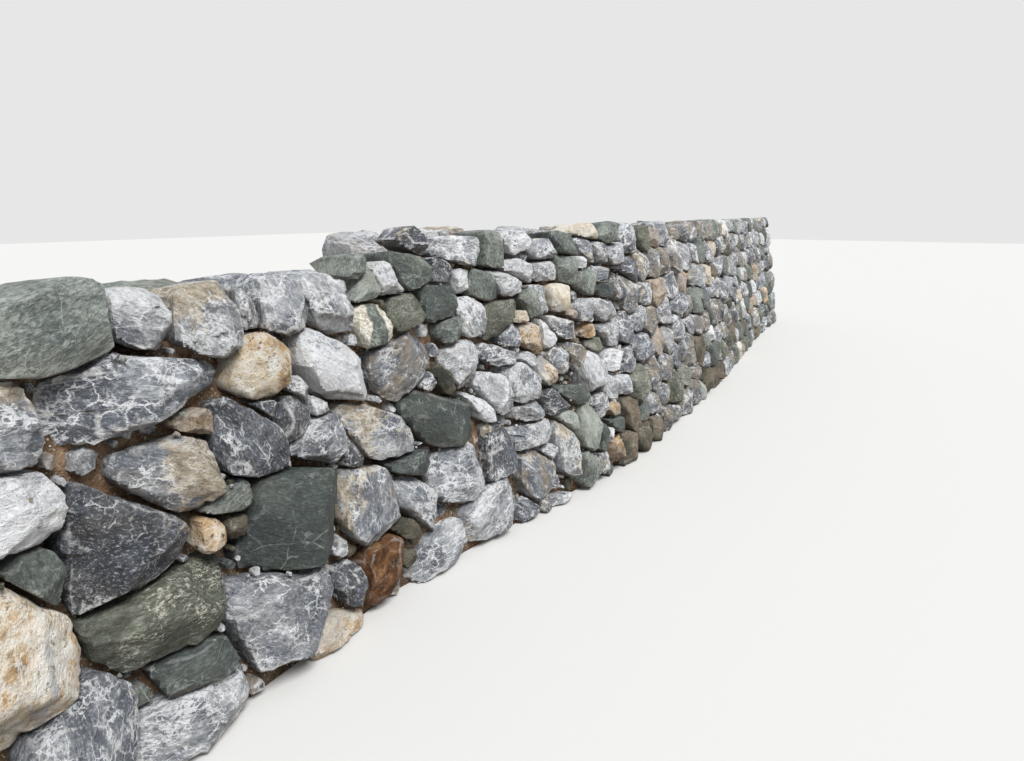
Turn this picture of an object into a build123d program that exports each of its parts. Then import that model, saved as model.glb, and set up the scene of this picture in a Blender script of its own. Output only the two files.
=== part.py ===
from build123d import *
import math
import os
import random

os.makedirs("parts", exist_ok=True)

# A dry-laid retaining wall of mixed field boulders. The near end is at -X, the
# stone face looks towards -Y, the bank that it holds is at +Y, and the ground
# is at z = 0. Inside the functions, u runs along the face from the near end and
# v runs up. Sizes are in mm.

# Driving dimensions of the wall
bay_length = 2700.0
bay_count = 6
near_height = 2180.0
full_height = 2400.0
rise_start = 3150.0
rise_length = 300.0
wall_depth = 1280.0
batter = 0.17

# How the foot of the face swells forward along its length
near_straight = 2750.0
swell_rise = 3000.0
swell_flat = 2400.0
swell_fall = 7000.0
swell_depth = 440.0
far_forward = 130.0

# How deep the stones run into the wall, and how far they stand proud
face_stone_depth = 420.0
backing_depth = 300.0
end_stone_depth = 300.0
face_nose = 120.0
backing_nose = 60.0
end_nose = 50.0
coping_stand = 120.0

# The joints between stones, and the size of the stones that aren't drawn
joint = 18.0
drawn_margin = 24.0
laid_clearance = 45.0
face_row_height = 300.0
face_stone_length = 410.0
backing_row_height = 440.0
backing_stone_length = 680.0
end_row_height = 330.0
smallest_stone = 90.0

# How the rows wander. Drops are shares of a row's height, the rest are shares of
# the stones' length, lying is how long the stones lie and dip how much they slope.
row_start = (0.2, 0.6)
row_end = 0.15
row_drop = (-0.24, 0.24)
row_spacing = (0.62, 1.42)
stone_weight = (0.0, 0.42)
stone_reach = 1.5
lying = 0.78
dip = 0.14

# The pinning stones that are wedged into the hollows between the boulders
chink_least = 38.0
chink_most = 140.0
chink_corners = 6
chink_step = 22.0
chink_set_back = (20.0, 70.0)
chink_lean = (0.02, 0.04)

# The courses, by the share of the wall's height where a stone's middle lies
base_share = 0.2
lower_share = 0.5
upper_share = 0.8

# How the boulders are shaped. The pairs are the least and the most of a range.
# Leans are slopes against the way into the wall, corners are shares of an edge,
# and reliefs and facets are shares of the stone's mean radius.
face_corners = (0.14, 0.32)
rear_corners = (0.12, 0.26)
front_lean = (0.08, 0.46)
tail_lean = (0.05, 0.15)
nose_relief = 0.27
nose_least = 15.0
nose_tilt_along = (-0.16, 0.16)
nose_tilt_up = (-0.08, 0.24)
facet_count = 3
facet_turn = (-0.2, 0.2)
facet_lean = (0.40, 0.85)
facet_start = (0.24, 0.46)
blunt_cosine = -0.72
least_outline_edge = 12.0
least_face_edge = 1.5
shave_step = 2.5
shave_tries = 8
coping_unevenness = (-10.0, 60.0)
backing_unevenness = (30.0, 90.0)
coping_lean = 0.06

# The draws of chance that settle which stone lies where
face_draw = 41
backing_draw = 17

# The plan of the face is drawn in plan units. Its stations count along the wall,
# and the near end of the wall stands at the near station.
plan_unit = 10.0
near_station = 45.0
plan_near_height = 218.0
plan_full_height = 240.0

# The big stones of the near stretch, each as its outline of stations and heights
drawn_near_end = [
    [(100, 208), (123, 217), (151, 222), (159, 220), (162, 213), (159, 196), (155, 190), (122, 186), (100, 190)],
    [(163, 215), (174, 216), (189, 213), (191, 204), (193, 198), (186, 190), (176, 188), (162, 199)],
    [(193, 209), (200, 213), (213, 213), (222, 215), (226, 208), (226, 190), (223, 181), (210, 180), (190, 190)],
    [(227, 211), (232, 210), (236, 203), (241, 196), (240, 189), (228, 190)],
    [(125, 178), (133, 182), (152, 185), (161, 190), (170, 189), (208, 180), (215, 175), (216, 170),
     (210, 161), (196, 157), (150, 151), (136, 150), (128, 153)],
    [(92, 178), (100, 186), (115, 188), (122, 183), (127, 168), (128, 160), (121, 151), (105, 153), (92, 162)],
    [(84, 134), (86, 147), (106, 152), (118, 150), (125, 145), (128, 137), (128, 128), (123, 121), (95, 124)],
    [(122, 115), (128, 130), (134, 137), (140, 137), (150, 127), (179, 106), (179, 100), (176, 94),
     (160, 89), (143, 85), (127, 86), (118, 91)],
    [(100, 116), (107, 119), (117, 119), (122, 105), (121, 97), (117, 95), (110, 99), (102, 109)],
    [(66, 72), (78, 98), (90, 108), (98, 109), (108, 104), (117, 90), (123, 68), (121, 59), (88, 44), (74, 50)],
    [(120, 87), (142, 84), (174, 89), (193, 87), (195, 77), (188, 65), (180, 53), (170, 51), (145, 51),
     (131, 56), (123, 66)],
    [(180, 103), (186, 104), (192, 101), (194, 96), (190, 90), (183, 88), (179, 92)],
    [(153, 149), (173, 149), (185, 146), (194, 142), (197, 136), (198, 122), (195, 114), (180, 112),
     (167, 117), (157, 127), (151, 136)],
    [(179, 155), (195, 156), (202, 153), (200, 146), (193, 144), (184, 149)],
    [(162, 151), (168, 155), (174, 153), (174, 149), (166, 147)],
    [(88, 20), (93, 46), (101, 53), (122, 59), (128, 57), (134, 47), (134, 36), (130, 17), (128, 0), (95, 0)],
    [(133, 0), (130, 14), (134, 30), (143, 33), (160, 30), (181, 27), (185, 22), (188, 10), (185, 3), (178, 0)],
    [(144, 49), (170, 49), (180, 44), (187, 38), (189, 31), (184, 28), (160, 29), (150, 34)],
]
drawn_second = [
    [(203, 156), (213, 157), (222, 150), (231, 144), (237, 134), (240, 120), (238, 113), (230, 111),
     (216, 115), (205, 120), (200, 133), (200, 145)],
    [(213, 164), (220, 179), (226, 187), (234, 188), (245, 186), (254, 179), (258, 170), (256, 162),
     (248, 156), (236, 153), (224, 156)],
    [(250, 160), (258, 159), (263, 153), (263, 147), (256, 147), (249, 152)],
    [(225, 153), (244, 151), (242, 143), (236, 139), (228, 146)],
    [(243, 148), (254, 149), (261, 136), (260, 131), (250, 125), (243, 120), (240, 126), (240, 144)],
    [(269, 184), (278, 184), (286, 179), (302, 169), (315, 161), (318, 150), (321, 140), (319, 133),
     (302, 138), (280, 139), (268, 146), (260, 160), (262, 174)],
    [(264, 147), (270, 147), (279, 141), (278, 136), (270, 134), (266, 136)],
    [(240, 208), (245, 215), (253, 216), (264, 214), (270, 207), (272, 196), (270, 185), (258, 182),
     (245, 187), (241, 195)],
    [(274, 209), (282, 213), (296, 213), (303, 204), (309, 197), (310, 187), (307, 177), (298, 177),
     (287, 180), (277, 187)],
    [(292, 176), (310, 176), (312, 170), (302, 170)],
    [(311, 198), (320, 206), (329, 217), (335, 208), (337, 198), (315, 196)],
    [(313, 212), (317, 222), (324, 223), (329, 219), (320, 208)],
    [(334, 216), (347, 217), (355, 211), (360, 203), (359, 197), (348, 195), (338, 197)],
    [(311, 187), (319, 191), (342, 191), (342, 180), (340, 170), (328, 167), (317, 167), (312, 176)],
    [(343, 194), (357, 196), (374, 195), (375, 175), (365, 172), (350, 169), (342, 170)],
    [(321, 158), (327, 162), (342, 162), (352, 168), (366, 169), (374, 163), (380, 153), (379, 143),
     (368, 139), (360, 132), (336, 128), (324, 134), (320, 145)],
    [(282, 137), (290, 136), (310, 129), (324, 122), (333, 113), (344, 109), (352, 98), (351, 92),
     (338, 90), (298, 97), (286, 118)],
    [(258, 133), (278, 133), (285, 125), (285, 118), (280, 104), (270, 106), (244, 118)],
    [(282, 117), (287, 118), (293, 108), (295, 99), (286, 97), (280, 103)],
    [(203, 90), (211, 105), (215, 112), (232, 111), (254, 105), (275, 98), (273, 86), (270, 76),
     (258, 58), (242, 56), (195, 70)],
    [(182, 110), (202, 115), (210, 117), (214, 112), (209, 100), (193, 104)],
    [(195, 102), (208, 99), (205, 91), (200, 87), (195, 92)],
    [(276, 96), (290, 96), (301, 94), (312, 86), (319, 75), (322, 60), (321, 52), (308, 48), (296, 44),
     (287, 45), (279, 55), (273, 68), (274, 83)],
    [(316, 88), (332, 90), (350, 89), (358, 84), (360, 77), (353, 74), (338, 75), (323, 81)],
    [(321, 72), (335, 74), (343, 70), (358, 53), (356, 38), (350, 30), (344, 32), (323, 53)],
    [(309, 49), (322, 49), (338, 42), (342, 33), (333, 32), (320, 38)],
    [(280, 43), (292, 43), (304, 45), (313, 39), (319, 31), (312, 21), (286, 5), (278, 9)],
    [(257, 32), (263, 40), (271, 42), (276, 35), (281, 26), (280, 17), (274, 14), (262, 19)],
    [(191, 69), (205, 63), (225, 56), (242, 51), (251, 45), (256, 37), (254, 29), (236, 17), (222, 8),
     (209, 8), (199, 15), (190, 30), (186, 45), (186, 58)],
    [(225, 10), (233, 16), (242, 19), (260, 14), (276, 5), (284, 0), (230, 0)],
    [(199, 9), (206, 8), (219, 5), (226, 2), (225, 0), (200, 0)],
    [(328, 20), (335, 25), (360, 30), (376, 28), (377, 13), (362, 0), (330, 0), (314, 14)],
    [(316, 30), (328, 24), (327, 16), (320, 15), (315, 20)],
]
drawn_third = [
    [(366, 232), (372, 236), (382, 240), (385, 236), (390, 230), (390, 222), (385, 220), (370, 226)],
    [(353, 223), (370, 220), (380, 219), (386, 214), (387, 207), (382, 201), (372, 198), (362, 198), (356, 208)],
    [(392, 230), (412, 232), (444, 230), (446, 220), (444, 212), (435, 210), (410, 214), (389, 222)],
    [(390, 217), (398, 218), (402, 217), (408, 209), (408, 203), (400, 201), (386, 202)],
    [(446, 233), (452, 235), (462, 234), (469, 220), (466, 213), (459, 209), (450, 209), (445, 212)],
    [(463, 233), (470, 234), (488, 234), (496, 230), (502, 226), (503, 220), (485, 217), (472, 213), (468, 215)],
    [(483, 216), (490, 219), (499, 216), (500, 212), (492, 212)],
    [(408, 207), (418, 208), (425, 207), (425, 198), (422, 190), (409, 189)],
    [(407, 183), (410, 189), (422, 189), (433, 182), (435, 175), (434, 162), (431, 157), (422, 155), (410, 165)],
    [(376, 194), (380, 199), (398, 198), (408, 195), (406, 186), (402, 178), (390, 174), (377, 173)],
    [(390, 174), (402, 176), (409, 170), (410, 162), (402, 157), (392, 155), (386, 160)],
    [(370, 172), (376, 169), (387, 160), (386, 153), (380, 153), (377, 161)],
    [(427, 208), (435, 206), (445, 203), (452, 195), (452, 185), (440, 184), (432, 186), (424, 190), (423, 196)],
    [(446, 206), (456, 204), (468, 200), (480, 199), (485, 193), (483, 187), (472, 185), (456, 185), (453, 193)],
    [(460, 206), (466, 210), (476, 213), (484, 212), (495, 206), (499, 200), (500, 193), (493, 190), (470, 200)],
    [(502, 209), (520, 210), (524, 206), (525, 198), (520, 192), (508, 192), (502, 197)],
    [(505, 227), (520, 227), (528, 225), (531, 219), (527, 213), (515, 211), (505, 213), (502, 220)],
    [(436, 180), (468, 181), (476, 177), (475, 172), (456, 165), (450, 156), (442, 153), (434, 155)],
    [(483, 186), (490, 188), (495, 185), (497, 176), (496, 167), (488, 165), (483, 168), (479, 176)],
    [(497, 187), (503, 190), (509, 186), (512, 178), (512, 170), (505, 166), (498, 167)],
    [(513, 186), (520, 190), (532, 189), (543, 184), (548, 177), (547, 170), (539, 166), (527, 165), (517, 168)],
    [(472, 160), (484, 161), (492, 156), (497, 148), (498, 138), (492, 133), (484, 137), (474, 143), (471, 150)],
    [(478, 171), (483, 170), (484, 162), (472, 161), (473, 166)],
    [(450, 155), (458, 162), (465, 165), (470, 160), (471, 150), (470, 142), (460, 141), (452, 144)],
    [(426, 147), (437, 150), (448, 149), (470, 140), (468, 133), (455, 131), (442, 132), (425, 141)],
    [(380, 150), (388, 153), (405, 157), (418, 158), (425, 157), (425, 146), (418, 127), (405, 121),
     (396, 120), (392, 128)],
    [(377, 140), (383, 144), (389, 140), (392, 130), (393, 121), (386, 120), (376, 133)],
    [(362, 137), (370, 139), (376, 136), (378, 128), (368, 127), (362, 131)],
    [(336, 120), (351, 131), (362, 128), (385, 121), (400, 115), (408, 108), (418, 88), (417, 81),
     (395, 84), (362, 86), (353, 98)],
    [(402, 117), (410, 116), (420, 108), (430, 100), (431, 92), (422, 91), (415, 93), (406, 110)],
    [(415, 125), (428, 128), (442, 124), (450, 117), (455, 97), (452, 92), (440, 91), (431, 93), (414, 120)],
    [(448, 129), (462, 130), (474, 128), (483, 120), (485, 110), (480, 100), (472, 97), (458, 100), (451, 116)],
    [(472, 132), (480, 138), (486, 133), (487, 128), (480, 124), (474, 127)],
    [(488, 130), (496, 132), (508, 115), (506, 107), (501, 104), (493, 108), (487, 113)],
    [(358, 72), (366, 79), (385, 81), (398, 80), (408, 74), (412, 60), (411, 52), (392, 40), (382, 41), (358, 50)],
    [(383, 33), (395, 38), (412, 43), (442, 42), (446, 38), (442, 24), (438, 15), (426, 8), (410, 6),
     (392, 7), (382, 9), (380, 20)],
    [(417, 90), (428, 88), (438, 84), (443, 76), (448, 56), (446, 47), (430, 45), (415, 47), (413, 60)],
    [(433, 91), (447, 92), (446, 84), (440, 84), (434, 88)],
    [(457, 94), (466, 92), (478, 95), (486, 92), (491, 84), (490, 80), (474, 80), (454, 87)],
    [(445, 78), (455, 79), (475, 79), (490, 78), (497, 70), (495, 62), (485, 58), (462, 59), (452, 58), (446, 66)],
    [(478, 55), (490, 57), (497, 50), (498, 43), (488, 43), (480, 48)],
    [(451, 55), (460, 58), (472, 56), (482, 47), (487, 38), (486, 30), (477, 22), (474, 14), (460, 13),
     (452, 25), (450, 40)],
    [(440, 12), (446, 24), (452, 22), (458, 12), (466, 10), (466, 0), (440, 0)],
    [(420, 6), (428, 8), (436, 5), (439, 0), (420, 0)],
    [(468, 13), (478, 10), (480, 0), (467, 0)],
    [(482, 7), (492, 9), (505, 7), (516, 0), (481, 0)],
]
drawn_fourth = [
    [(500, 134), (510, 136), (518, 134), (528, 127), (535, 118), (534, 111), (522, 110), (510, 116), (505, 125)],
    [(520, 138), (532, 139), (542, 137), (550, 128), (552, 118), (550, 111), (537, 110)],
    [(498, 163), (507, 157), (520, 142), (518, 140), (506, 136), (499, 139)],
    [(508, 163), (518, 165), (533, 160), (545, 157), (555, 150), (558, 144), (553, 139), (522, 140), (516, 147)],
    [(534, 163), (544, 166), (550, 164), (550, 157), (540, 158)],
    [(555, 141), (562, 149), (572, 149), (578, 142), (579, 137), (565, 136)],
    [(562, 136), (580, 136), (587, 131), (589, 125), (580, 122), (570, 124), (562, 129)],
    [(552, 166), (562, 172), (574, 174), (583, 168), (586, 159), (580, 153), (566, 152), (555, 154)],
    [(588, 169), (600, 170), (617, 166), (620, 158), (612, 150), (598, 149), (590, 154)],
    [(530, 212), (538, 213), (552, 211), (560, 205), (560, 196), (554, 190), (542, 188), (528, 192)],
    [(560, 199), (578, 200), (588, 190), (587, 178), (580, 173), (570, 174), (551, 189)],
    [(562, 209), (572, 210), (577, 203), (575, 199), (563, 198)],
    [(527, 232), (538, 233), (552, 230), (562, 224), (562, 215), (552, 213), (538, 215), (530, 222)],
    [(566, 224), (574, 228), (584, 226), (588, 215), (585, 207), (576, 209), (568, 214)],
    [(572, 232), (582, 238), (594, 239), (603, 232), (604, 225), (590, 224), (578, 226)],
    [(594, 222), (605, 224), (618, 220), (620, 212), (612, 203), (602, 203)],
    [(606, 227), (618, 238), (640, 240), (660, 237), (666, 229), (660, 222), (640, 220), (615, 222)],
    [(621, 219), (645, 220), (665, 219), (667, 206), (650, 200), (633, 200), (622, 205)],
    [(588, 199), (605, 199), (622, 193), (624, 187), (610, 186), (592, 186)],
    [(590, 183), (610, 184), (625, 180), (627, 172), (615, 168), (598, 171)],
    [(499, 72), (506, 73), (513, 66), (520, 58), (528, 36), (532, 29), (522, 20), (510, 24), (502, 30)],
    [(504, 77), (514, 80), (522, 77), (532, 68), (530, 62), (522, 62), (512, 67)],
    [(492, 98), (500, 102), (508, 95), (517, 91), (518, 81), (505, 79), (493, 82)],
    [(506, 102), (516, 103), (535, 100), (548, 96), (547, 86), (538, 83), (522, 84), (508, 96)],
    [(517, 109), (535, 108), (550, 106), (550, 102), (535, 102), (520, 104)],
    [(553, 125), (562, 125), (576, 116), (582, 105), (583, 94), (578, 88), (565, 85), (558, 90), (552, 102)],
    [(585, 119), (602, 120), (618, 116), (631, 112), (631, 104), (625, 98), (608, 99), (590, 100)],
    [(540, 78), (550, 79), (557, 70), (560, 60), (562, 45), (557, 33), (550, 34), (538, 42), (534, 52), (536, 68)],
    [(562, 60), (568, 56), (577, 50), (576, 38), (570, 28), (560, 30)],
    [(528, 33), (542, 34), (550, 25), (550, 12), (545, 3), (532, 5), (524, 14)],
    [(552, 26), (570, 29), (574, 20), (568, 8), (556, 10)],
    [(585, 29), (594, 31), (602, 34), (605, 20), (600, 10), (590, 8), (584, 15)],
    [(582, 93), (592, 96), (608, 90), (610, 80), (605, 71), (592, 75), (583, 84)],
    [(612, 89), (628, 90), (645, 85), (646, 76), (635, 71), (615, 71)],
    [(586, 65), (595, 69), (605, 66), (609, 60), (602, 56), (590, 58)],
    [(579, 48), (584, 46), (588, 41), (582, 35), (576, 35)],
]
drawn_stones = drawn_near_end + drawn_second + drawn_third + drawn_fourth

# Worked-out sizes
wall_length = bay_length * bay_count
depth_centre = ((wall_depth + backing_nose) - (swell_depth + face_nose)) / 2
core_back = wall_depth - backing_depth
bay_lines = [bay_length * index for index in range(bay_count + 1)]


def ease(share):
    """A smooth step from 0 to 1 as the share goes from 0 to 1."""
    share = min(max(share, 0.0), 1.0)
    return (1 - math.cos(math.pi * share)) / 2


def top_between(u, near, full):
    """The height of the top line at u, which steps up from near to full."""
    return near + (full - near) * ease((u - rise_start) / rise_length)


def top_at(u):
    return top_between(u, near_height, full_height)


def face_forward(u):
    """How far the foot of the face stands forward of its near end."""
    flat_start = near_straight + swell_rise
    fall_start = flat_start + swell_flat
    forward = swell_depth * ease((u - near_straight) / swell_rise)
    return forward - (swell_depth - far_forward) * ease((u - fall_start) / swell_fall)


def core_front(u, bay):
    """The depth of the hearting's front at the ground, straight within each bay."""
    start, end = bay_lines[bay], bay_lines[bay + 1]
    share = (u - start) / (end - start)
    start_depth = face_stone_depth - face_forward(start)
    end_depth = face_stone_depth - face_forward(end)
    return start_depth + (end_depth - start_depth) * share


def slope_of(line, u):
    """How fast a line's depth changes along the wall at u."""
    step = 50.0
    return (line(u + step) - line(u - step)) / (2 * step)


def bay_of(u):
    return min(max(int(u / bay_length), 0), bay_count - 1)


# Flat outlines, as lists of (u, v) points taken anticlockwise
def area_of(outline):
    total = 0.0
    for (u0, v0), (u1, v1) in zip(outline, outline[1:] + outline[:1]):
        total += u0 * v1 - u1 * v0
    return total / 2


def centre_of(outline):
    total, cu, cv = 0.0, 0.0, 0.0
    for (u0, v0), (u1, v1) in zip(outline, outline[1:] + outline[:1]):
        cross = u0 * v1 - u1 * v0
        total += cross
        cu += (u0 + u1) * cross
        cv += (v0 + v1) * cross
    return cu / (3 * total), cv / (3 * total)


def hull_of(points):
    """The convex outline round the points."""
    points = sorted(set(points))
    chains = []
    for run in (points, points[::-1]):
        chain = []
        for point in run:
            while len(chain) > 1 and area_of([chain[-2], chain[-1], point]) <= 0:
                chain.pop()
            chain.append(point)
        chains.append(chain[:-1])
    return chains[0] + chains[1]


def cut_outline(outline, nu, nv, reach):
    """What is left of the outline where nu * u + nv * v is at most reach."""
    kept = []
    for (u0, v0), (u1, v1) in zip(outline, outline[1:] + outline[:1]):
        d0 = nu * u0 + nv * v0 - reach
        d1 = nu * u1 + nv * v1 - reach
        if d0 <= 0:
            kept.append((u0, v0))
        if (d0 < 0 < d1) or (d1 < 0 < d0):
            share = d0 / (d0 - d1)
            kept.append((u0 + (u1 - u0) * share, v0 + (v1 - v0) * share))
    return kept


def edges_of(outline):
    """Each edge as its outward unit normal and its reach along that normal."""
    edges = []
    for (u0, v0), (u1, v1) in zip(outline, outline[1:] + outline[:1]):
        length = math.hypot(u1 - u0, v1 - v0)
        if length > 1e-6:
            nu, nv = (v1 - v0) / length, (u0 - u1) / length
            edges.append((nu, nv, nu * u0 + nv * v0))
    return edges


def shallowest_overlap(first, second):
    """The edge of first that second crosses least, and how far it crosses."""
    best = None
    for nu, nv, reach in edges_of(first):
        nearest = min(nu * u + nv * v for u, v in second)
        if best is None or reach - nearest < best[3]:
            best = (nu, nv, reach, reach - nearest)
    return best


def far_apart(first, second):
    """Whether the boxes round two outlines don't meet."""
    for axis in (0, 1):
        if max(point[axis] for point in first) <= min(point[axis] for point in second):
            return True
        if max(point[axis] for point in second) <= min(point[axis] for point in first):
            return True
    return False


def part_two(first, second):
    """Two outlines that overlap are cut along one line, half the overlap each."""
    if far_apart(first, second):
        return first, second
    by_first = shallowest_overlap(first, second)
    by_second = shallowest_overlap(second, first)
    if min(by_first[3], by_second[3]) <= 0:
        return first, second
    if by_first[3] <= by_second[3]:
        nu, nv, reach, overlap = by_first
        line = reach - overlap / 2
        return cut_outline(first, nu, nv, line), cut_outline(second, -nu, -nv, -line)
    nu, nv, reach, overlap = by_second
    line = reach - overlap / 2
    return cut_outline(first, -nu, -nv, -line), cut_outline(second, nu, nv, line)


def cut_back(outline, keeper):
    """The outline, cut back where it overlaps the keeper, which stays whole."""
    if far_apart(outline, keeper):
        return outline
    by_keeper = shallowest_overlap(keeper, outline)
    by_outline = shallowest_overlap(outline, keeper)
    if min(by_keeper[3], by_outline[3]) <= 0:
        return outline
    choices = []
    for nu, nv, reach in edges_of(keeper):
        choices.append(cut_outline(outline, -nu, -nv, -reach))
    choices = [choice for choice in choices if len(choice) > 2]
    return max(choices, key=area_of) if choices else []


def breadth_of(outline):
    """The least width of the outline, over the directions of its edges."""
    widths = []
    for nu, nv, reach in edges_of(outline):
        widths.append(reach - min(nu * u + nv * v for u, v in outline))
    return min(widths) if widths else 0.0


def set_in(outline, gap):
    """The outline with every edge moved in by the gap."""
    inner = outline
    for nu, nv, reach in edges_of(outline):
        inner = cut_outline(inner, nu, nv, reach - gap)
        if len(inner) < 3:
            return []
    return inner


def grown(outline, gap):
    """The outline with every edge moved out by the gap."""
    low_u, high_u = min(u for u, v in outline) - gap, max(u for u, v in outline) + gap
    low_v, high_v = min(v for u, v in outline) - gap, max(v for u, v in outline) + gap
    outer = [(low_u, low_v), (high_u, low_v), (high_u, high_v), (low_u, high_v)]
    for nu, nv, reach in edges_of(outline):
        outer = cut_outline(outer, nu, nv, reach + gap)
    return outer


def knock_corners(outline, rng, shares):
    """Each sharp corner is cut off across a share of its shorter edge."""
    knocked = outline
    count = len(outline)
    for index, corner in enumerate(outline):
        before, after = outline[index - 1], outline[(index + 1) % count]
        back = (before[0] - corner[0], before[1] - corner[1])
        ahead = (after[0] - corner[0], after[1] - corner[1])
        lengths = math.hypot(*back), math.hypot(*ahead)
        cosine = (back[0] * ahead[0] + back[1] * ahead[1]) / (lengths[0] * lengths[1])
        if cosine < blunt_cosine or corner[1] < joint / 2:
            continue
        run = min(lengths) * rng.uniform(*shares)
        first = (corner[0] + back[0] / lengths[0] * run, corner[1] + back[1] / lengths[0] * run)
        second = (corner[0] + ahead[0] / lengths[1] * run, corner[1] + ahead[1] / lengths[1] * run)
        nu, nv = second[1] - first[1], first[0] - second[0]
        knocked = cut_outline(knocked, nu, nv, nu * first[0] + nv * first[1])
    return knocked


def tidy_outline(outline):
    """The outline without points that are nearer than the least edge."""
    tidy = []
    for point in outline:
        if not tidy or math.dist(point, tidy[-1]) > least_outline_edge:
            tidy.append(point)
    while len(tidy) > 3 and math.dist(tidy[0], tidy[-1]) <= least_outline_edge:
        tidy.pop()
    return tidy


def drawn_outlines():
    """The drawn stones at their places on the wall, cut clear of each other."""
    outlines = []
    for drawing in drawn_stones:
        middle = sum(station for station, height in drawing) / len(drawing)
        middle_u = (middle - near_station) * plan_unit
        plan_top = top_between(middle_u, plan_near_height, plan_full_height)
        rise = top_at(middle_u) / plan_top
        points = []
        for station, height in drawing:
            points.append(((station - near_station) * plan_unit, height * rise))
        outlines.append(grown(hull_of(points), drawn_margin))
    for first in range(len(outlines)):
        for second in range(first):
            pair = part_two(outlines[first], outlines[second])
            outlines[first], outlines[second] = pair
    return [outline for outline in outlines if len(outline) > 2]


def inside(outline, point, margin):
    return all(nu * point[0] + nv * point[1] < reach + margin for nu, nv, reach in edges_of(outline))


def laid_outlines(draw, region, row_height, stone_length, keepers=()):
    """Rows of uneven stones that fill a convex region round the keepers.

    Every seed takes the points that are nearer to it than to any other seed,
    less its own weight, so that large and small stones meet in flat joints.
    Distances count less along the stones' bed, which dips a little, so that
    the stones lie down. Each row has its own draws of chance and starts at the
    low end, so a longer wall keeps the stones that it had.
    """
    low_u = min(u for u, v in region)
    high_u = max(u for u, v in region)
    high_v = max(v for u, v in region)
    rows = max(1, round(high_v / row_height))
    height = high_v / rows
    seeds = []
    for row in range(rows):
        rng = random.Random(draw + row)
        u = low_u + stone_length * rng.uniform(*row_start)
        while u < high_u - stone_length * row_end:
            v = height * (row + 0.5 + rng.uniform(*row_drop))
            weight = (stone_length * rng.uniform(*stone_weight)) ** 2
            if not any(inside(keeper, (u, v), laid_clearance) for keeper in keepers):
                seeds.append((u, v, weight))
            u += stone_length * rng.uniform(*row_spacing)
    seeds.sort()
    outlines = []
    across, up = stone_reach * stone_length, stone_reach * height
    for index, (u0, v0, weight0) in enumerate(seeds):
        cell = cut_outline(cut_outline(region, 1.0, 0.0, u0 + across), -1.0, 0.0, across - u0)
        cell = cut_outline(cut_outline(cell, 0.0, 1.0, v0 + up), 0.0, -1.0, up - v0)
        for other, (u1, v1, weight1) in enumerate(seeds):
            if other == index or abs(u1 - u0) > 2 * across:
                continue
            along, rise = (u1 - u0) * lying, v1 - v0 + dip * (u1 - u0)
            middle_u, middle_v = (u0 + u1) / 2, (v0 + v1) / 2
            nu, nv = along * lying + rise * dip, rise
            reach = nu * middle_u + nv * middle_v + (weight0 - weight1) / 2
            cell = cut_outline(cell, nu, nv, reach)
            if len(cell) < 3:
                break
        for keeper in keepers:
            if len(cell) > 2:
                cell = cut_back(cell, keeper)
        if len(cell) > 2:
            outlines.append(cell)
    return outlines


# Closed solids with flat faces, as lists of faces made of (u, v, w) points
def box_faces(low, high):
    corners = {}
    for i in (0, 1):
        for j in (0, 1):
            for k in (0, 1):
                corners[i, j, k] = ((low[0], high[0])[i], (low[1], high[1])[j], (low[2], high[2])[k])
    faces = []
    for axis in range(3):
        for side in (0, 1):
            ring = []
            for a, b in ((0, 0), (0, 1), (1, 1), (1, 0)):
                key = [a, b]
                key.insert(axis, side)
                ring.append(corners[tuple(key)])
            faces.append(ring)
    return faces


def crossing(p, q, dp, dq):
    """Where the edge from p to q meets the cut, the same whichever way it is taken."""
    if q < p:
        p, q, dp, dq = q, p, dq, dp
    share = dp / (dp - dq)
    return tuple(a + (b - a) * share for a, b in zip(p, q))


def cut_faces(faces, normal, reach):
    """What is left of a convex solid where the point along the normal is at most reach."""
    kept, rim = [], []
    a, b, c = normal
    for face in faces:
        sides = [a * p[0] + b * p[1] + c * p[2] - reach for p in face]
        sides = [0.0 if abs(side) < 1e-6 else side for side in sides]
        if max(sides) == min(sides) == 0.0:
            return faces
        rim += [point for point, side in zip(face, sides) if side == 0.0]
        if max(sides) <= 0.0:
            kept.append(face)
            continue
        if min(sides) >= 0.0:
            continue
        ring = []
        for index, point in enumerate(face):
            following = (index + 1) % len(face)
            if sides[index] <= 0:
                ring.append(point)
            if sides[index] * sides[following] < 0:
                meet = crossing(point, face[following], sides[index], sides[following])
                ring.append(meet)
                rim.append(meet)
        kept.append(ring)
    rim = list(dict.fromkeys(rim))
    if len(rim) < 3:
        return kept
    middle = [sum(p[k] for p in rim) / len(rim) for k in range(3)]
    span = [rim[0][k] - middle[k] for k in range(3)]
    across = (b * span[2] - c * span[1], c * span[0] - a * span[2], a * span[1] - b * span[0])
    size = math.sqrt(a * a + b * b + c * c)

    def turn(point):
        offset = [point[k] - middle[k] for k in range(3)]
        along = sum(offset[k] * span[k] for k in range(3))
        sideways = sum(offset[k] * across[k] for k in range(3)) / size
        return math.atan2(sideways, along)

    kept.append(sorted(rim, key=turn))
    return kept


def shortest_edge(faces):
    return min(math.dist(p, q) for face in faces for p, q in zip(face, face[1:] + face[:1]))


def shave(faces, normal, reach):
    """A cut that is taken a little deeper where it would leave a hair-thin edge."""
    size = math.sqrt(sum(part * part for part in normal))
    for attempt in range(shave_tries):
        cut = cut_faces(faces, normal, reach - attempt * shave_step * size)
        if len(cut) > 3 and shortest_edge(cut) >= least_face_edge:
            return cut
    return faces


def on_the_ground(nv, reach):
    """Whether an edge is the flat foot of a stone that lies on the ground."""
    return nv < -0.95 and abs(reach) < 1.0


def cut_to_planes(faces, centre_u, planes):
    """What is left of a solid in front of planes that are given by slope and depth."""
    for slope, depth in planes:
        faces = cut_faces(faces, (-slope, 0.0, 1.0), depth - slope * centre_u)
    return faces


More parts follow.
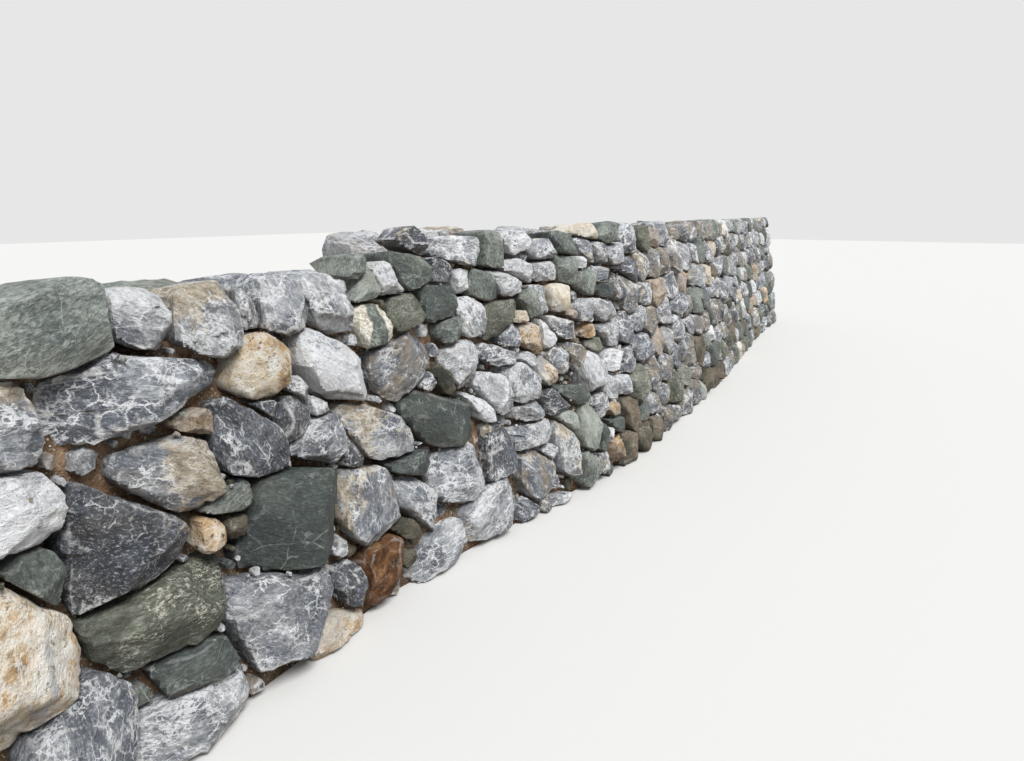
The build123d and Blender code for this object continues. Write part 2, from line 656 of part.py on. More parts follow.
def stone_faces(outline, nose, back_planes, rng):
    """A boulder with its girth at w = 0, its nose towards -w and its tail at +w.

    The outline is widest at the girth. Each edge leans in towards the nose and,
    less, towards the tail. The nose is one flat, tilted face with knocked-off
    corners, and the tail lies flat on the planes behind it.
    """
    centre_u, centre_v = centre_of(outline)
    spread = math.sqrt(area_of(outline) / math.pi)
    proud = min(nose, nose_least + nose_relief * spread)
    reach_u = max(abs(u - centre_u) for u, v in outline) * 2
    high = max(v for u, v in outline) + spread
    deepest = max(depth for slope, depth in back_planes) + reach_u
    faces = box_faces((centre_u - reach_u, 0.0, -proud), (centre_u + reach_u, high, deepest))
    faces = cut_to_planes(faces, centre_u, back_planes)
    for nu, nv, reach in edges_of(outline):
        if on_the_ground(nv, reach):
            continue
        faces = shave(faces, (nu, nv, -rng.uniform(*front_lean)), reach)
        faces = shave(faces, (nu, nv, rng.uniform(*tail_lean)), reach)
    tilt_u, tilt_v = rng.uniform(*nose_tilt_along), rng.uniform(*nose_tilt_up)
    face_reach = proud + tilt_u * centre_u + tilt_v * centre_v
    faces = shave(faces, (tilt_u, tilt_v, -1.0), face_reach)
    start = rng.uniform(0, 2 * math.pi)
    spacing = 2 * math.pi / facet_count
    for facet in range(facet_count):
        angle = start + (facet + rng.uniform(*facet_turn)) * spacing
        lean = rng.uniform(*facet_lean)
        du, dv = math.cos(angle) * lean, math.sin(angle) * lean
        reach = proud + lean * spread * rng.uniform(*facet_start)
        faces = shave(faces, (du, dv, -1.0), reach + du * centre_u + dv * centre_v)
    return faces


def solid_from(faces, place):
    """The solid whose faces are carried to their place, each turned outwards."""
    placed = [[place(point) for point in face] for face in faces]
    points = [point for face in placed for point in face]
    middle = [sum(p[k] for p in points) / len(points) for k in range(3)]
    sides = []
    for face in placed:
        normal = [0.0, 0.0, 0.0]
        for p, q in zip(face, face[1:] + face[:1]):
            normal[0] += (p[1] - q[1]) * (p[2] + q[2])
            normal[1] += (p[2] - q[2]) * (p[0] + q[0])
            normal[2] += (p[0] - q[0]) * (p[1] + q[1])
        outward = sum(normal[k] * (face[0][k] - middle[k]) for k in range(3))
        ring = face if outward > 0 else face[::-1]
        sides.append(Face(Wire.make_polygon([Vector(*p) for p in ring], close=True)))
    return Solid(Shell(sides))


def at(x, y, z):
    """A point measured from the near end's foot, moved to the wall's own frame."""
    return x - wall_length / 2, y - depth_centre, z


def core_planes(outline):
    """The hearting's front as the stone meets it, one plane for each bay it spans."""
    centre_u = centre_of(outline)[0]
    face_slope = -slope_of(face_forward, centre_u)
    first = bay_of(min(u for u, v in outline))
    last = bay_of(max(u for u, v in outline))
    planes = []
    for bay in range(first, last + 1):
        core_slope = slope_of(lambda u: core_front(u, bay), centre_u)
        planes.append((core_slope - face_slope, core_front(centre_u, bay) + face_forward(centre_u)))
    return planes


def set_on_face(faces, centre_u):
    """The solid, leant back by the batter and turned along the face at its centre."""
    slope = -slope_of(face_forward, centre_u)
    girth = -face_forward(centre_u)

    def place(point):
        u, v, w = point
        return at(u, girth + slope * (u - centre_u) + batter * v + w, v)

    return solid_from(faces, place)


def face_stone(outline, rng):
    faces = stone_faces(outline, face_nose, core_planes(outline), rng)
    return set_on_face(faces, centre_of(outline)[0])


def backing_stone(outline, rng):
    faces = stone_faces(outline, backing_nose, [(0.0, backing_depth)], rng)
    return solid_from(faces, lambda point: at(point[0], wall_depth - point[2], point[1]))


def end_stone(outline, rng, side):
    """A stone in the end of the wall, where u runs across the wall."""
    faces = stone_faces(outline, end_nose, [(0.0, end_stone_depth - end_nose)], rng)
    if side == "near":
        return solid_from(faces, lambda point: at(end_nose + point[2], point[0], point[1]))
    return solid_from(faces, lambda point: at(wall_length - end_nose - point[2], point[0], point[1]))


def finished(outlines, rng, corners):
    """Outlines with their joints opened, their corners knocked and no slivers."""
    ready = []
    for outline in outlines:
        inner = set_in(outline, joint / 2)
        if len(inner) > 2:
            inner = tidy_outline(knock_corners(inner, rng, corners))
        if len(inner) > 2 and breadth_of(inner) > smallest_stone:
            ready.append(inner)
    return ready


def below_top(outline, rng, drop):
    """The outline, cut to the top line less a small uneven drop."""
    centre_u = centre_of(outline)[0]
    lean = rng.uniform(-coping_lean, coping_lean)
    return cut_outline(outline, -lean, 1.0, top_at(centre_u) - drop - lean * centre_u)


def hearting_block(bay):
    """The packed rubble and soil in the middle of one bay."""
    start = max(bay_lines[bay], end_stone_depth)
    end = min(bay_lines[bay + 1], wall_length - end_stone_depth)
    rings = []
    for u in (start, end):
        top = top_at(bay_lines[bay] if u == start else bay_lines[bay + 1]) - coping_stand
        front = core_front(u, bay)
        corners = [(front, 0.0), (core_back, 0.0), (core_back, top), (front + batter * top, top)]
        rings.append([(u, depth, height) for depth, height in corners])
    first, second = rings
    faces = [first, second]
    for index in range(4):
        following = (index + 1) % 4
        faces.append([first[index], first[following], second[following], second[index]])
    return solid_from(faces, lambda point: at(*point))


def chink_outlines(outlines, rng):
    """Small outlines in the hollows that the face stones leave between them."""
    found = []
    edge_lists = []
    for outline in outlines:
        low, high = min(u for u, v in outline), max(u for u, v in outline)
        edge_lists.append((low - chink_most, high + chink_most, edges_of(outline)))
    u = chink_most / 2
    while u < wall_length - chink_most / 2:
        near = [edges for low, high, edges in edge_lists if low < u < high]
        v = chink_most / 2
        while v < top_at(u) - coping_stand:
            clear = min(max(nu * u + nv * v - reach for nu, nv, reach in edges) for edges in near)
            radius = clear - joint / 2
            if 2 * radius > chink_least:
                found.append((radius, u, v))
            v += chink_step
        u += chink_step
    chosen = []
    for radius, u, v in sorted(found, reverse=True):
        if all(math.hypot(u - other[1], v - other[2]) > radius + other[0] + joint for other in chosen):
            chosen.append((min(radius, chink_most / 2), u, v))
    outlines = []
    for radius, u, v in chosen:
        turn = rng.uniform(0, 2 * math.pi)
        ring = []
        for corner in range(chink_corners):
            angle = turn + corner * 2 * math.pi / chink_corners
            ring.append((u + radius * math.cos(angle), v + radius * math.sin(angle)))
        outlines.append(ring)
    return outlines


def chink_stone(outline, rng):
    """A thin wedge driven in from the face until its tail meets the hearting."""
    centre_u, centre_v = centre_of(outline)
    planes = core_planes(outline)
    head = rng.uniform(*chink_set_back)
    lean = rng.uniform(*chink_lean)
    reach = max(math.dist(point, (centre_u, centre_v)) for point in outline)
    deepest = max(depth for slope, depth in planes) + reach
    low = (centre_u - reach, centre_v - reach, head)
    faces = box_faces(low, (centre_u + reach, centre_v + reach, deepest))
    faces = cut_to_planes(faces, centre_u, planes)
    for nu, nv, edge_reach in edges_of(outline):
        faces = shave(faces, (nu, nv, lean), edge_reach + lean * head)
    return set_on_face(faces, centre_u)


def write_node(name, solids):
    export_step(Compound(children=solids, label=name), f"parts/{name}.step")


def course_of(outline):
    u, v = centre_of(outline)
    share = v / top_at(u)
    if share < base_share:
        return "base_course"
    if share < lower_share:
        return "lower_course"
    return "upper_course" if share < upper_share else "coping"


def write_face():
    """The face's courses and their pinning stones, bay by bay."""
    rng = random.Random(face_draw)
    drawn = drawn_outlines()
    region = [(0.0, 0.0), (wall_length, 0.0), (wall_length, full_height), (0.0, full_height)]
    laid = laid_outlines(face_draw, region, face_row_height, face_stone_length, drawn)
    outlines = [cut_outline(cut_outline(each, 0.0, -1.0, 0.0), -1.0, 0.0, 0.0) for each in drawn]
    outlines += [below_top(each, rng, rng.uniform(*coping_unevenness)) for each in laid]
    outlines = [each for each in outlines if len(each) > 2]
    face_outlines = finished(outlines, rng, face_corners)
    nodes = {}
    for outline in face_outlines:
        name = f"{course_of(outline)}_{bay_of(centre_of(outline)[0]) + 1}"
        nodes.setdefault(name, []).append(face_stone(outline, rng))
    for outline in chink_outlines(face_outlines, rng):
        name = f"chinking_{bay_of(centre_of(outline)[0]) + 1}"
        nodes.setdefault(name, []).append(chink_stone(outline, rng))
    for name, stones in nodes.items():
        write_node(name, stones)


def write_rear(rng):
    """The rougher stones of the rear, bay by bay."""
    region = [(0.0, 0.0), (wall_length, 0.0), (wall_length, full_height), (0.0, full_height)]
    laid = laid_outlines(backing_draw, region, backing_row_height, backing_stone_length)
    laid = [below_top(each, rng, rng.uniform(*backing_unevenness)) for each in laid]
    backing = {}
    for outline in finished([each for each in laid if len(each) > 2], rng, rear_corners):
        backing.setdefault(bay_of(centre_of(outline)[0]), []).append(backing_stone(outline, rng))
    for bay, stones in backing.items():
        write_node(f"backing_{bay + 1}", stones)


def write_ends(rng):
    """The stones that close the two ends between the face and the rear."""
    for side, bay, u in (("near", 0, 0.0), ("far", bay_count - 1, wall_length)):
        top = top_at(u) - coping_stand
        foot = core_front(u, bay)
        region = [(foot, 0.0), (core_back, 0.0), (core_back, top), (foot + batter * top, top)]
        laid = laid_outlines(backing_draw, region, end_row_height, core_back - foot)
        stones = [end_stone(each, rng, side) for each in finished(laid, rng, rear_corners)]
        write_node(f"{side}_end", stones)


write_face()
rear_rng = random.Random(backing_draw)
write_rear(rear_rng)
write_ends(rear_rng)
for bay in range(bay_count):
    write_node(f"hearting_{bay + 1}", [hearting_block(bay)])
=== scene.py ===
import itertools
import math

import bpy
import numpy as np
from mathutils import Matrix, Vector


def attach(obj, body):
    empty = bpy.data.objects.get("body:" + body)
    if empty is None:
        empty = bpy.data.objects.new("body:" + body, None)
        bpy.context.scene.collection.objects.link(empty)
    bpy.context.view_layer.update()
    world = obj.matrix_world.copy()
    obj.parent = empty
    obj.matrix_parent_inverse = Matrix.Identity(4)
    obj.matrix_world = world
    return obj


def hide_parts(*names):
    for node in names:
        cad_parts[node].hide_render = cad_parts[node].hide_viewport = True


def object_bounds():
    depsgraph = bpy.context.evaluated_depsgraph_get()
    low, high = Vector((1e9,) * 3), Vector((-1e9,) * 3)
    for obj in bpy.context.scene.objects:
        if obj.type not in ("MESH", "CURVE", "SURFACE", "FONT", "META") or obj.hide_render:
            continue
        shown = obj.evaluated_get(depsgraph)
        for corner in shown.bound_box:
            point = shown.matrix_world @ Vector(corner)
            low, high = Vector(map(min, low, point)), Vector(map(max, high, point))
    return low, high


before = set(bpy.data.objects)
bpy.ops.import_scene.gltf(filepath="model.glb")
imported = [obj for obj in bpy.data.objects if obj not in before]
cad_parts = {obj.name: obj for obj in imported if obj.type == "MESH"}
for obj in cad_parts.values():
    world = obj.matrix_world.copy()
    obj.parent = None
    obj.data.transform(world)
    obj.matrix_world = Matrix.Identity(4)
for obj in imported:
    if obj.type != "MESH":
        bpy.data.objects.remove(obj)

cad_low, cad_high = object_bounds()

# The foot boulders. The heaviest stones of the wall, blasted marble and
# greenstone with some sandstone, set on a levelled bed with a flat side down
# and their tails held by the rubble behind.
foot_nodes = [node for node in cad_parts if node.startswith("base_course_")]
bay_names = sorted((node.rsplit("_", 1)[1] for node in foot_nodes), key=int)


def stones_in(node):
    """The separate solids of a CAD node, each as its corners and its flat sides.

    Corners that coincide are merged, and corners that share a triangle take the
    lowest of their labels until none changes. A side is the unit normal n and
    the reach d of its triangles, so that n . p = d all over it. Triangles that
    lie in one plane count once, and the largest of them gives the plane.
    """
    speck, same_way, same_plane = 1e-8, 0.9992, 0.004
    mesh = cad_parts[node].data
    loose = np.empty(len(mesh.vertices) * 3)
    mesh.vertices.foreach_get("co", loose)
    corners, merged = np.unique(loose.reshape(-1, 3).round(5), axis=0, return_inverse=True)
    mesh.calc_loop_triangles()
    triangles = np.empty(len(mesh.loop_triangles) * 3, int)
    mesh.loop_triangles.foreach_get("vertices", triangles)
    triangles = merged.ravel()[triangles].reshape(-1, 3)
    label, before = np.arange(len(corners)), None
    while before is None or (label != before).any():
        before = label.copy()
        np.minimum.at(label, triangles.ravel(), np.repeat(label[triangles].min(axis=1), 3))
    first, second, third = (corners[column] for column in triangles.T)
    normals = np.cross(second - first, third - first)
    areas = np.linalg.norm(normals, axis=1)
    normals = normals / np.maximum(areas, 1e-12)[:, None]
    stones = []
    for stone in np.unique(label[triangles[:, 0]]):
        mine = np.flatnonzero((areas > speck) & (label[triangles[:, 0]] == stone))
        mine = mine[np.argsort(-areas[mine])]
        sides = []
        for triangle in mine:
            normal, reach = normals[triangle], normals[triangle] @ first[triangle]
            if not any(normal @ n > same_way and abs(reach - d) < same_plane for n, d in sides):
                sides.append((normal, reach))
        middle = np.average((first + second + third)[mine] / 3, axis=0, weights=areas[mine])
        stones.append({
            "corners": corners[label == stone],
            "normals": np.array([n for n, d in sides]),
            "reaches": np.array([d for n, d in sides]),
            "middle": middle,
        })
    return stones


def cloud(points, draw):
    """Value noise from -1 to 1, in three dimensions.

    Each corner of a unit lattice has a value hashed from its whole coordinates,
    and the eight round a point are blended by 3t^2 - 2t^3 along each axis.
    """
    cells = np.floor(points).astype(np.int64)
    share = points - cells
    share = share * share * (3 - 2 * share)
    total = np.zeros(len(points))
    for step in itertools.product((0, 1), repeat=3):
        i, j, k = (cells + step).T
        hashed = (i * 73856093) ^ (j * 19349663) ^ (k * 83492791) ^ (draw * 40503 + 977)
        hashed = (hashed ^ (hashed >> 13)) * 1274126177
        value = ((hashed >> 7) & 0xFFFF) / 32767.5 - 1
        weight = np.where(step, share, 1 - share).prod(axis=1)
        total += weight * value
    return total


def drift(points, shifts, draw):
    """A vector of noise for each point: the cloud at three places, each shifted by its own way."""
    return np.stack([cloud(points + shift, draw) for shift in shifts], axis=1)


def box_grid(across, deep):
    """The points and faces of a closed grid on a box, close in front and open behind.

    The front is a square grid of two parameters, s along and t up, each -1 to 1.
    From its rim, rows run back along the four sides, closer near the front, and
    a fan closes the back. A point is (s, t, q) on the box, with q = 1 in front.
    """
    rim_crowding, front_crowding = 1.25, 1.35
    steps = np.sin(np.linspace(-1, 1, across + 1) * rim_crowding) / math.sin(rim_crowding)
    s, t = np.meshgrid(steps, steps)
    front = np.column_stack([s.ravel(), t.ravel(), np.ones(s.size)])
    number = np.arange(s.size).reshape(s.shape)
    rim = np.concatenate([number[0, :-1], number[:-1, -1], number[-1, :0:-1], number[:0:-1, 0]])
    rows, points = [rim], [front]
    for row in range(deep):
        ring = front[rim].copy()
        ring[:, 2] = 1 - 2 * ((row + 1) / deep) ** front_crowding
        rows.append(s.size + row * len(rim) + np.arange(len(rim)))
        points.append(ring)
    points.append(np.array([[0.0, 0.0, -1.0]]))
    points = np.concatenate(points)
    quads = [np.stack([number[:-1, :-1], number[:-1, 1:], number[1:, 1:], number[1:, :-1]], axis=-1)]
    quads[0] = quads[0].reshape(-1, 4)
    for upper, lower in zip(rows, rows[1:]):
        quads.append(np.stack([upper, lower, np.roll(lower, -1), np.roll(upper, -1)], axis=-1))
    last = np.full(len(rim), len(points) - 1)
    fan = np.stack([rows[-1], last, np.roll(rows[-1], -1)], axis=-1)
    return points, np.concatenate(quads), fan


def scars(place, count, rng):
    """The scars of old breaks: a height and a tone of -1 to 1, the tone for painted facet shading, and how
    close a ridge is.

    Some of the points are centres, each with a weight. A point belongs to the
    centre with the least squared distance less that weight, and its height is
    that distance, a dish with ridges round it, plus a slope across the dish.
    It is on a ridge where the next centre counts as near as its own.
    """
    most_weight, steepest, dishing, ridge_width = 0.10, 1.3, 2.5, 0.035
    centres = place[rng.choice(len(place), count, replace=False)]
    away = ((place[:, None] - centres) ** 2).sum(axis=2) - rng.uniform(0, most_weight, count)
    mine = away.argmin(axis=1)
    slopes = rng.normal(size=(count, 3)) * steepest
    slope = ((place - centres[mine]) * slopes[mine]).sum(axis=1)
    nearest, next_one = np.partition(away, 1, axis=1)[:, :2].T
    tone = rng.uniform(-1, 1, count)[mine]
    height = np.clip(nearest * dishing + slope, -1, 1)
    return height, tone, np.clip(1 - (next_one - nearest) / ridge_width, 0, 1)


def arrises(levels, normals, reaches):
    """How close each point is to an arris: 1 on a sharp one, 0 from 40 mm off.

    The highest level is the side that a point lies on, and the next is the side
    beyond the nearest arris. The gap to that side's plane, over the sine of the
    angle between both, is the way to the arris. A blunt arris counts for less.
    """
    width, sharp_turn = 0.04, 0.3
    rows = np.arange(len(levels))
    first = levels.argmax(axis=1)
    others = levels.copy()
    others[rows, first] = 0
    second = others.argmax(axis=1)
    gap = reaches[second] * (1 - others[rows, second] / levels[rows, first])
    cosine = (normals[first] * normals[second]).sum(axis=1).clip(-1, 0.9999)
    away = gap / np.sqrt(1 - cosine ** 2)
    return np.clip(1 - away / width, 0, 1) * np.clip((1 - cosine) / sharp_turn, 0, 1)


def with_chips(stone, facing, build, rng):
    """The stone's flat sides and its chips, as unit normals and as reaches from its middle.

    A chip is one more side. Its normal is drawn by chance, more or less towards
    the front, and it lies within the furthest corner by a share of its reach.
    """
    chips = rng.normal(size=(build["chips"], 3)) + build["frontal"] * facing
    chips /= np.linalg.norm(chips, axis=1)[:, None]
    chip_reaches = ((stone["corners"] - stone["middle"]) @ chips.T).max(axis=0)
    chip_reaches *= 1 - build["chip_depth"] * rng.random(build["chips"]) ** 1.5
    own_reaches = stone["reaches"] - stone["normals"] @ stone["middle"]
    return np.concatenate([stone["normals"], chips]), np.concatenate([own_reaches, chip_reaches])


def boulder(stone, facing, grid, build, rng):
    """A broken boulder over one CAD stone: its points, wear and shade, tones, and its own axes.

    A grid point gives a direction u from the stone's middle. A flat side with
    normal n and reach d is met where n . u = d, and the p-th root of the summed
    p-th powers of n . u / d blunts the arrises between the sides. Noise bends
    the directions first, so that arrises wander, and scars, ledges and noise
    then roughen the reach. The boulder grows sideways by a few hundredths, to
    meet its neighbours. A layer of noise has a fineness, a share and a shift.
    """
    growth, beyond_plane, warping, ledges_across = 0.035, 0.01, 0.12, 3.2
    wandering = ((2.1, 1.0, (0.0, 17.0, 41.0)), (6.5, 0.35, (3.0, 23.0, 57.0)))
    roughening = ((1.3, 1.0, 5.0), (3.4, 0.55, 0.0), (9.0, 0.40, 0.0))
    middle = stone["middle"]
    facing = np.array(facing, float)
    up = np.array([0.0, 0.0, 1.0])
    axes = np.stack([np.cross(up, facing), up, facing])
    half = np.abs((stone["corners"] - middle) @ axes.T).max(axis=0)
    size = half.prod() ** (1 / 3)
    directions = (grid[0] * half) @ axes
    directions /= np.linalg.norm(directions, axis=1)[:, None]
    draw = int(rng.integers(1 << 20))
    bent = directions.copy()
    for fineness, share, shifts in wandering:
        bent += share * build["bend"] * drift(directions * fineness, shifts, draw)
    bent /= np.linalg.norm(bent, axis=1)[:, None]
    normals, reaches = with_chips(stone, facing, build, rng)
    levels = np.maximum(bent @ (normals / reaches[:, None]).T, 0)
    top = levels.max(axis=1)
    soft = top * ((levels / top[:, None]) ** build["sharp"]).sum(axis=1) ** (1 / build["sharp"])
    swell = 1 + growth * (1 - (directions @ facing) ** 2)
    radius = swell * (1 + beyond_plane) / soft

    place = directions * radius[:, None] / size
    warped = place + warping * drift(place * 3.0, (0.0, 13.0, 29.0), draw + 6)
    height, tone, ridge = scars(warped, build["scars"], rng)
    radius += build["scar"] * size * height
    rough = build["rough"] * size
    for layer, (fineness, share, shift) in enumerate(roughening):
        radius += share * rough * cloud(place * fineness + shift, draw + 1 + layer)
    bed = rng.normal(size=3) * (0.35, 0.35, 1.0)
    bed /= np.linalg.norm(bed)
    risen = place @ bed * ledges_across + 0.5 * cloud(place * 1.5, draw + 5)
    radius -= build["ledge"] * size * np.clip((risen - np.floor(risen)) * 5, 0, 1)
    own = len(stone["normals"])
    exact = 1 / (directions @ (normals[:own] / reaches[:own, None]).T).max(axis=1)
    radius = np.minimum(radius, exact * (swell + beyond_plane))
    surface = np.clip(middle + directions * radius[:, None], np.array(cad_low), np.array(cad_high))

    # How far behind the front a point lies: it sets the soil and the painted shade in the joints.
    behind = (surface @ facing).max() - surface @ facing
    towards = math.radians(build.get("side", rng.uniform(0, 360)))
    side = ((surface - middle) @ axes.T)[:, :2] / half[:2] @ (math.cos(towards), math.sin(towards))
    ridge_wear = min(0.8, build["scar"] * 12)
    arris = np.maximum(arrises(levels, normals, reaches), ridge * ridge_wear)
    # Painted shading of the facets: each scar and each flat side gets a tone drawn at random, lighter or
    # darker as if light fell on it differently.
    tone = 0.5 + 0.25 * tone + 0.25 * rng.uniform(-1, 1, len(normals))[levels.argmax(axis=1)]
    return surface, np.column_stack([arris, behind, side]), tone, axes


def pattern_of(surface, stone, axes, rng):
    """The rock's own coordinates: its long way is x, and each stone has its own place and scale."""
    flat = (stone["corners"] - stone["middle"]) @ axes[:2].T
    spread = np.linalg.eigh(flat.T @ flat)[1][:, 1]
    angle = math.atan2(spread[1], spread[0]) + rng.normal() * 0.25
    turn = np.array([[math.cos(angle), math.sin(angle), 0.0],
                     [-math.sin(angle), math.cos(angle), 0.0],
                     [0.0, 0.0, 1.0]])
    scale = rng.uniform(0.75, 1.3) * np.array([rng.uniform(0.7, 1.1), 1.0, 1.0])
    return (surface - stone["middle"]) @ (turn @ axes).T * scale + rng.uniform(-40, 40, 3)


def shown(name, mesh):
    """The mesh as an object in the scene."""
    piece = bpy.data.objects.new(name, mesh)
    bpy.context.scene.collection.objects.link(piece)
    return piece


def piece_from(name, parts, finishes):
    """One mesh from many closed surfaces, with its rock coordinates, wear and shade, and mix."""
    sharp_from = math.radians(28)
    counts = np.cumsum([0] + [len(part["points"]) for part in parts])
    loops, starts, finish, total = [], [], [], 0
    for start, part in zip(counts, parts):
        for faces in part["faces"]:
            size = faces.shape[1]
            loops.append((faces + start).ravel())
            starts.append(total + size * np.arange(len(faces)))
            finish.append(np.full(len(faces), part["finish"]))
            total += faces.size
    mesh = bpy.data.meshes.new(name)
    mesh.vertices.add(counts[-1])
    mesh.vertices.foreach_set("co", np.concatenate([part["points"] for part in parts]).ravel())
    mesh.loops.add(total)
    mesh.loops.foreach_set("vertex_index", np.concatenate(loops))
    starts = np.concatenate(starts)
    mesh.polygons.add(len(starts))
    mesh.polygons.foreach_set("loop_start", starts)
    mesh.polygons.foreach_set("material_index", np.concatenate(finish))
    mesh.update(calc_edges=True)
    mesh.validate()
    mesh.shade_smooth()
    mesh.set_sharp_from_angle(angle=sharp_from)
    for key, kind, field in (("rock_at", "FLOAT_VECTOR", "vector"), ("rock_wear_and_shade", "FLOAT_VECTOR", "vector"),
                             ("rock_mix", "FLOAT_COLOR", "color")):
        values = np.concatenate([part[key] for part in parts])
        mesh.attributes.new(key, kind, "POINT").data.foreach_set(field, values.ravel())
    for material in finishes:
        mesh.materials.append(material)
    return shown(name, mesh)


def paint(red, green, blue):
    """A screen colour, each part from 0 to 255, as the linear colour of a socket."""
    parts = [part / 255 for part in (red, green, blue)]
    linear = [part / 12.92 if part <= 0.04045 else ((part + 0.055) / 1.055) ** 2.4 for part in parts]
    return (*linear, 1.0)


def add(tree, kind, inputs=None, **settings):
    """A node with its settings made and its inputs linked or set."""
    node = tree.nodes.new(kind)
    for name, value in settings.items():
        setattr(node, name, value)
    for name, value in (inputs or {}).items():
        if isinstance(value, bpy.types.NodeSocket):
            tree.links.new(value, node.inputs[name])
        else:
            node.inputs[name].default_value = value
    return node


def worked(tree, operation, first, second=0.0, third=0.0):
    """The result of one step of arithmetic."""
    return add(tree, "ShaderNodeMath", {0: first, 1: second, 2: third}, operation=operation).outputs[0]


def plus(tree, first, second):
    """The first value plus the second."""
    return worked(tree, "ADD", first, second)


def times(tree, first, second):
    """The first value times the second."""
    return worked(tree, "MULTIPLY", first, second)


def scaled(tree, value, factor, onto):
    """The value times the factor, added onto another value."""
    return worked(tree, "MULTIPLY_ADD", value, factor, onto)


def greater(tree, first, second):
    """The greater of two values."""
    return worked(tree, "MAXIMUM", first, second)


def step_of(tree, value, start, end, reach=1.0):
    """A smooth step of the value, from 0 at the start to the reach at the end."""
    node = add(tree, "ShaderNodeMapRange",
               {"Value": value, "From Min": start, "From Max": end, "To Max": reach},
               interpolation_type="SMOOTHSTEP")
    return node.outputs[0]


def grain(tree, at, scale, detail=5.0, rough=0.6, bend=0.0):
    """Fractal noise, with about so many lumps a metre."""
    node = add(tree, "ShaderNodeTexNoise",
               {"Vector": at, "Scale": scale, "Detail": detail, "Roughness": rough, "Distortion": bend})
    return node.outputs[0]


def drawn_out(tree, at, along, across=1.0):
    """The rock's coordinates, scaled so that a pattern is drawn out along the bedding."""
    node = add(tree, "ShaderNodeVectorMath", {0: at, 1: (along, across, across)}, operation="MULTIPLY")
    return node.outputs[0]


def moved_by_noise(tree, at, scale, detail, rough, reach):
    """The coordinates, each moved along every axis by a share of the reach."""
    noise = add(tree, "ShaderNodeTexNoise",
                {"Vector": at, "Scale": scale, "Detail": detail, "Roughness": rough}).outputs["Color"]
    node = add(tree, "ShaderNodeVectorMath", {0: noise, 1: (reach, reach, reach), 2: at},
               operation="MULTIPLY_ADD")
    return node.outputs[0]


def cell_walls(tree, at, scale):
    """How far a point is from the walls between the cells of scattered points."""
    node = add(tree, "ShaderNodeTexVoronoi", {"Vector": at, "Scale": scale}, feature="DISTANCE_TO_EDGE")
    return node.outputs[0]


def mixed(tree, share, first, second):
    """Two colours, mixed by a share of the second. The node's sockets 6 and 7 are its colours."""
    node = add(tree, "ShaderNodeMix", {0: share, 6: first, 7: second}, data_type="RGBA")
    return node.outputs[2]


def shades(tree, value, stops):
    """A row of screen colours, each at its place between 0 and 1."""
    node = add(tree, "ShaderNodeValToRGB", {0: value})
    ramp = node.color_ramp
    while len(ramp.elements) < len(stops):
        ramp.elements.new(0.5)
    for element, (place, color) in zip(ramp.elements, stops.items()):
        element.position = place
        element.color = paint(*color)
    return node.outputs[0]


def new_group(name, inputs, outputs):
    """An empty shader group with its sockets, and its two end nodes."""
    tree = bpy.data.node_groups.new(name, "ShaderNodeTree")
    for way, sockets in (("INPUT", inputs), ("OUTPUT", outputs)):
        for label, kind in sockets.items():
            tree.interface.new_socket(label, in_out=way, socket_type="NodeSocket" + kind)
    return tree, tree.nodes.new("NodeGroupInput").outputs, tree.nodes.new("NodeGroupOutput").inputs


def bloom_group():
    """White calcite: a net of ragged lines of two sizes, and flecks that crowd along them.

    The lines are the walls between the cells of scattered points, moved by a
    noise. Another noise says how dense the calcite is, with the share added.
    """
    tree, given, out = new_group("white_calcite", {"At": "Vector", "Scale": "Float", "Share": "Float"},
                                 {"Mask": "Float"})
    at = given["At"]
    dense = plus(tree, grain(tree, at, scale=6.5, rough=0.62), given["Share"])
    moved = moved_by_noise(tree, at, scale=12.0, detail=5.0, rough=0.65, reach=0.09)
    fine = grain(tree, drawn_out(tree, at, 0.55), scale=52.0, rough=0.72)
    flecks = scaled(tree, dense, 0.62, fine)
    mask = 0.0
    for scale, width, start, end in ((1.0, 0.050, 0.48, 0.60), (2.4, 0.080, 0.55, 0.68)):
        walls = cell_walls(tree, moved, times(tree, given["Scale"], scale))
        there = step_of(tree, dense, start, end)
        line = times(tree, step_of(tree, walls, width, width * 0.3), there)
        mask = greater(tree, mask, line)
        beside = step_of(tree, walls, 0.28, 0.0, reach=0.13)
        flecks = plus(tree, flecks, times(tree, beside, there))
    mask = greater(tree, mask, step_of(tree, flecks, 1.02, 1.13, reach=0.92))
    tree.links.new(mask, out["Mask"])
    return tree


def thread_group():
    """Thin straight threads of quartz: the walls between the cells of scattered points."""
    tree, given, out = new_group("quartz_threads", {"At": "Vector", "Scale": "Float", "Width": "Float"},
                                 {"Mask": "Float"})
    at = given["At"]
    moved = moved_by_noise(tree, at, scale=11.0, detail=4.0, rough=0.5, reach=0.03)
    walls = cell_walls(tree, moved, given["Scale"])
    line = worked(tree, "SUBTRACT", 1.0, worked(tree, "DIVIDE", walls, given["Width"]))
    there = step_of(tree, grain(tree, at, scale=5.0, rough=0.65), 0.48, 0.62)
    tree.links.new(times(tree, greater(tree, line, 0.0), there), out["Mask"])
    return tree


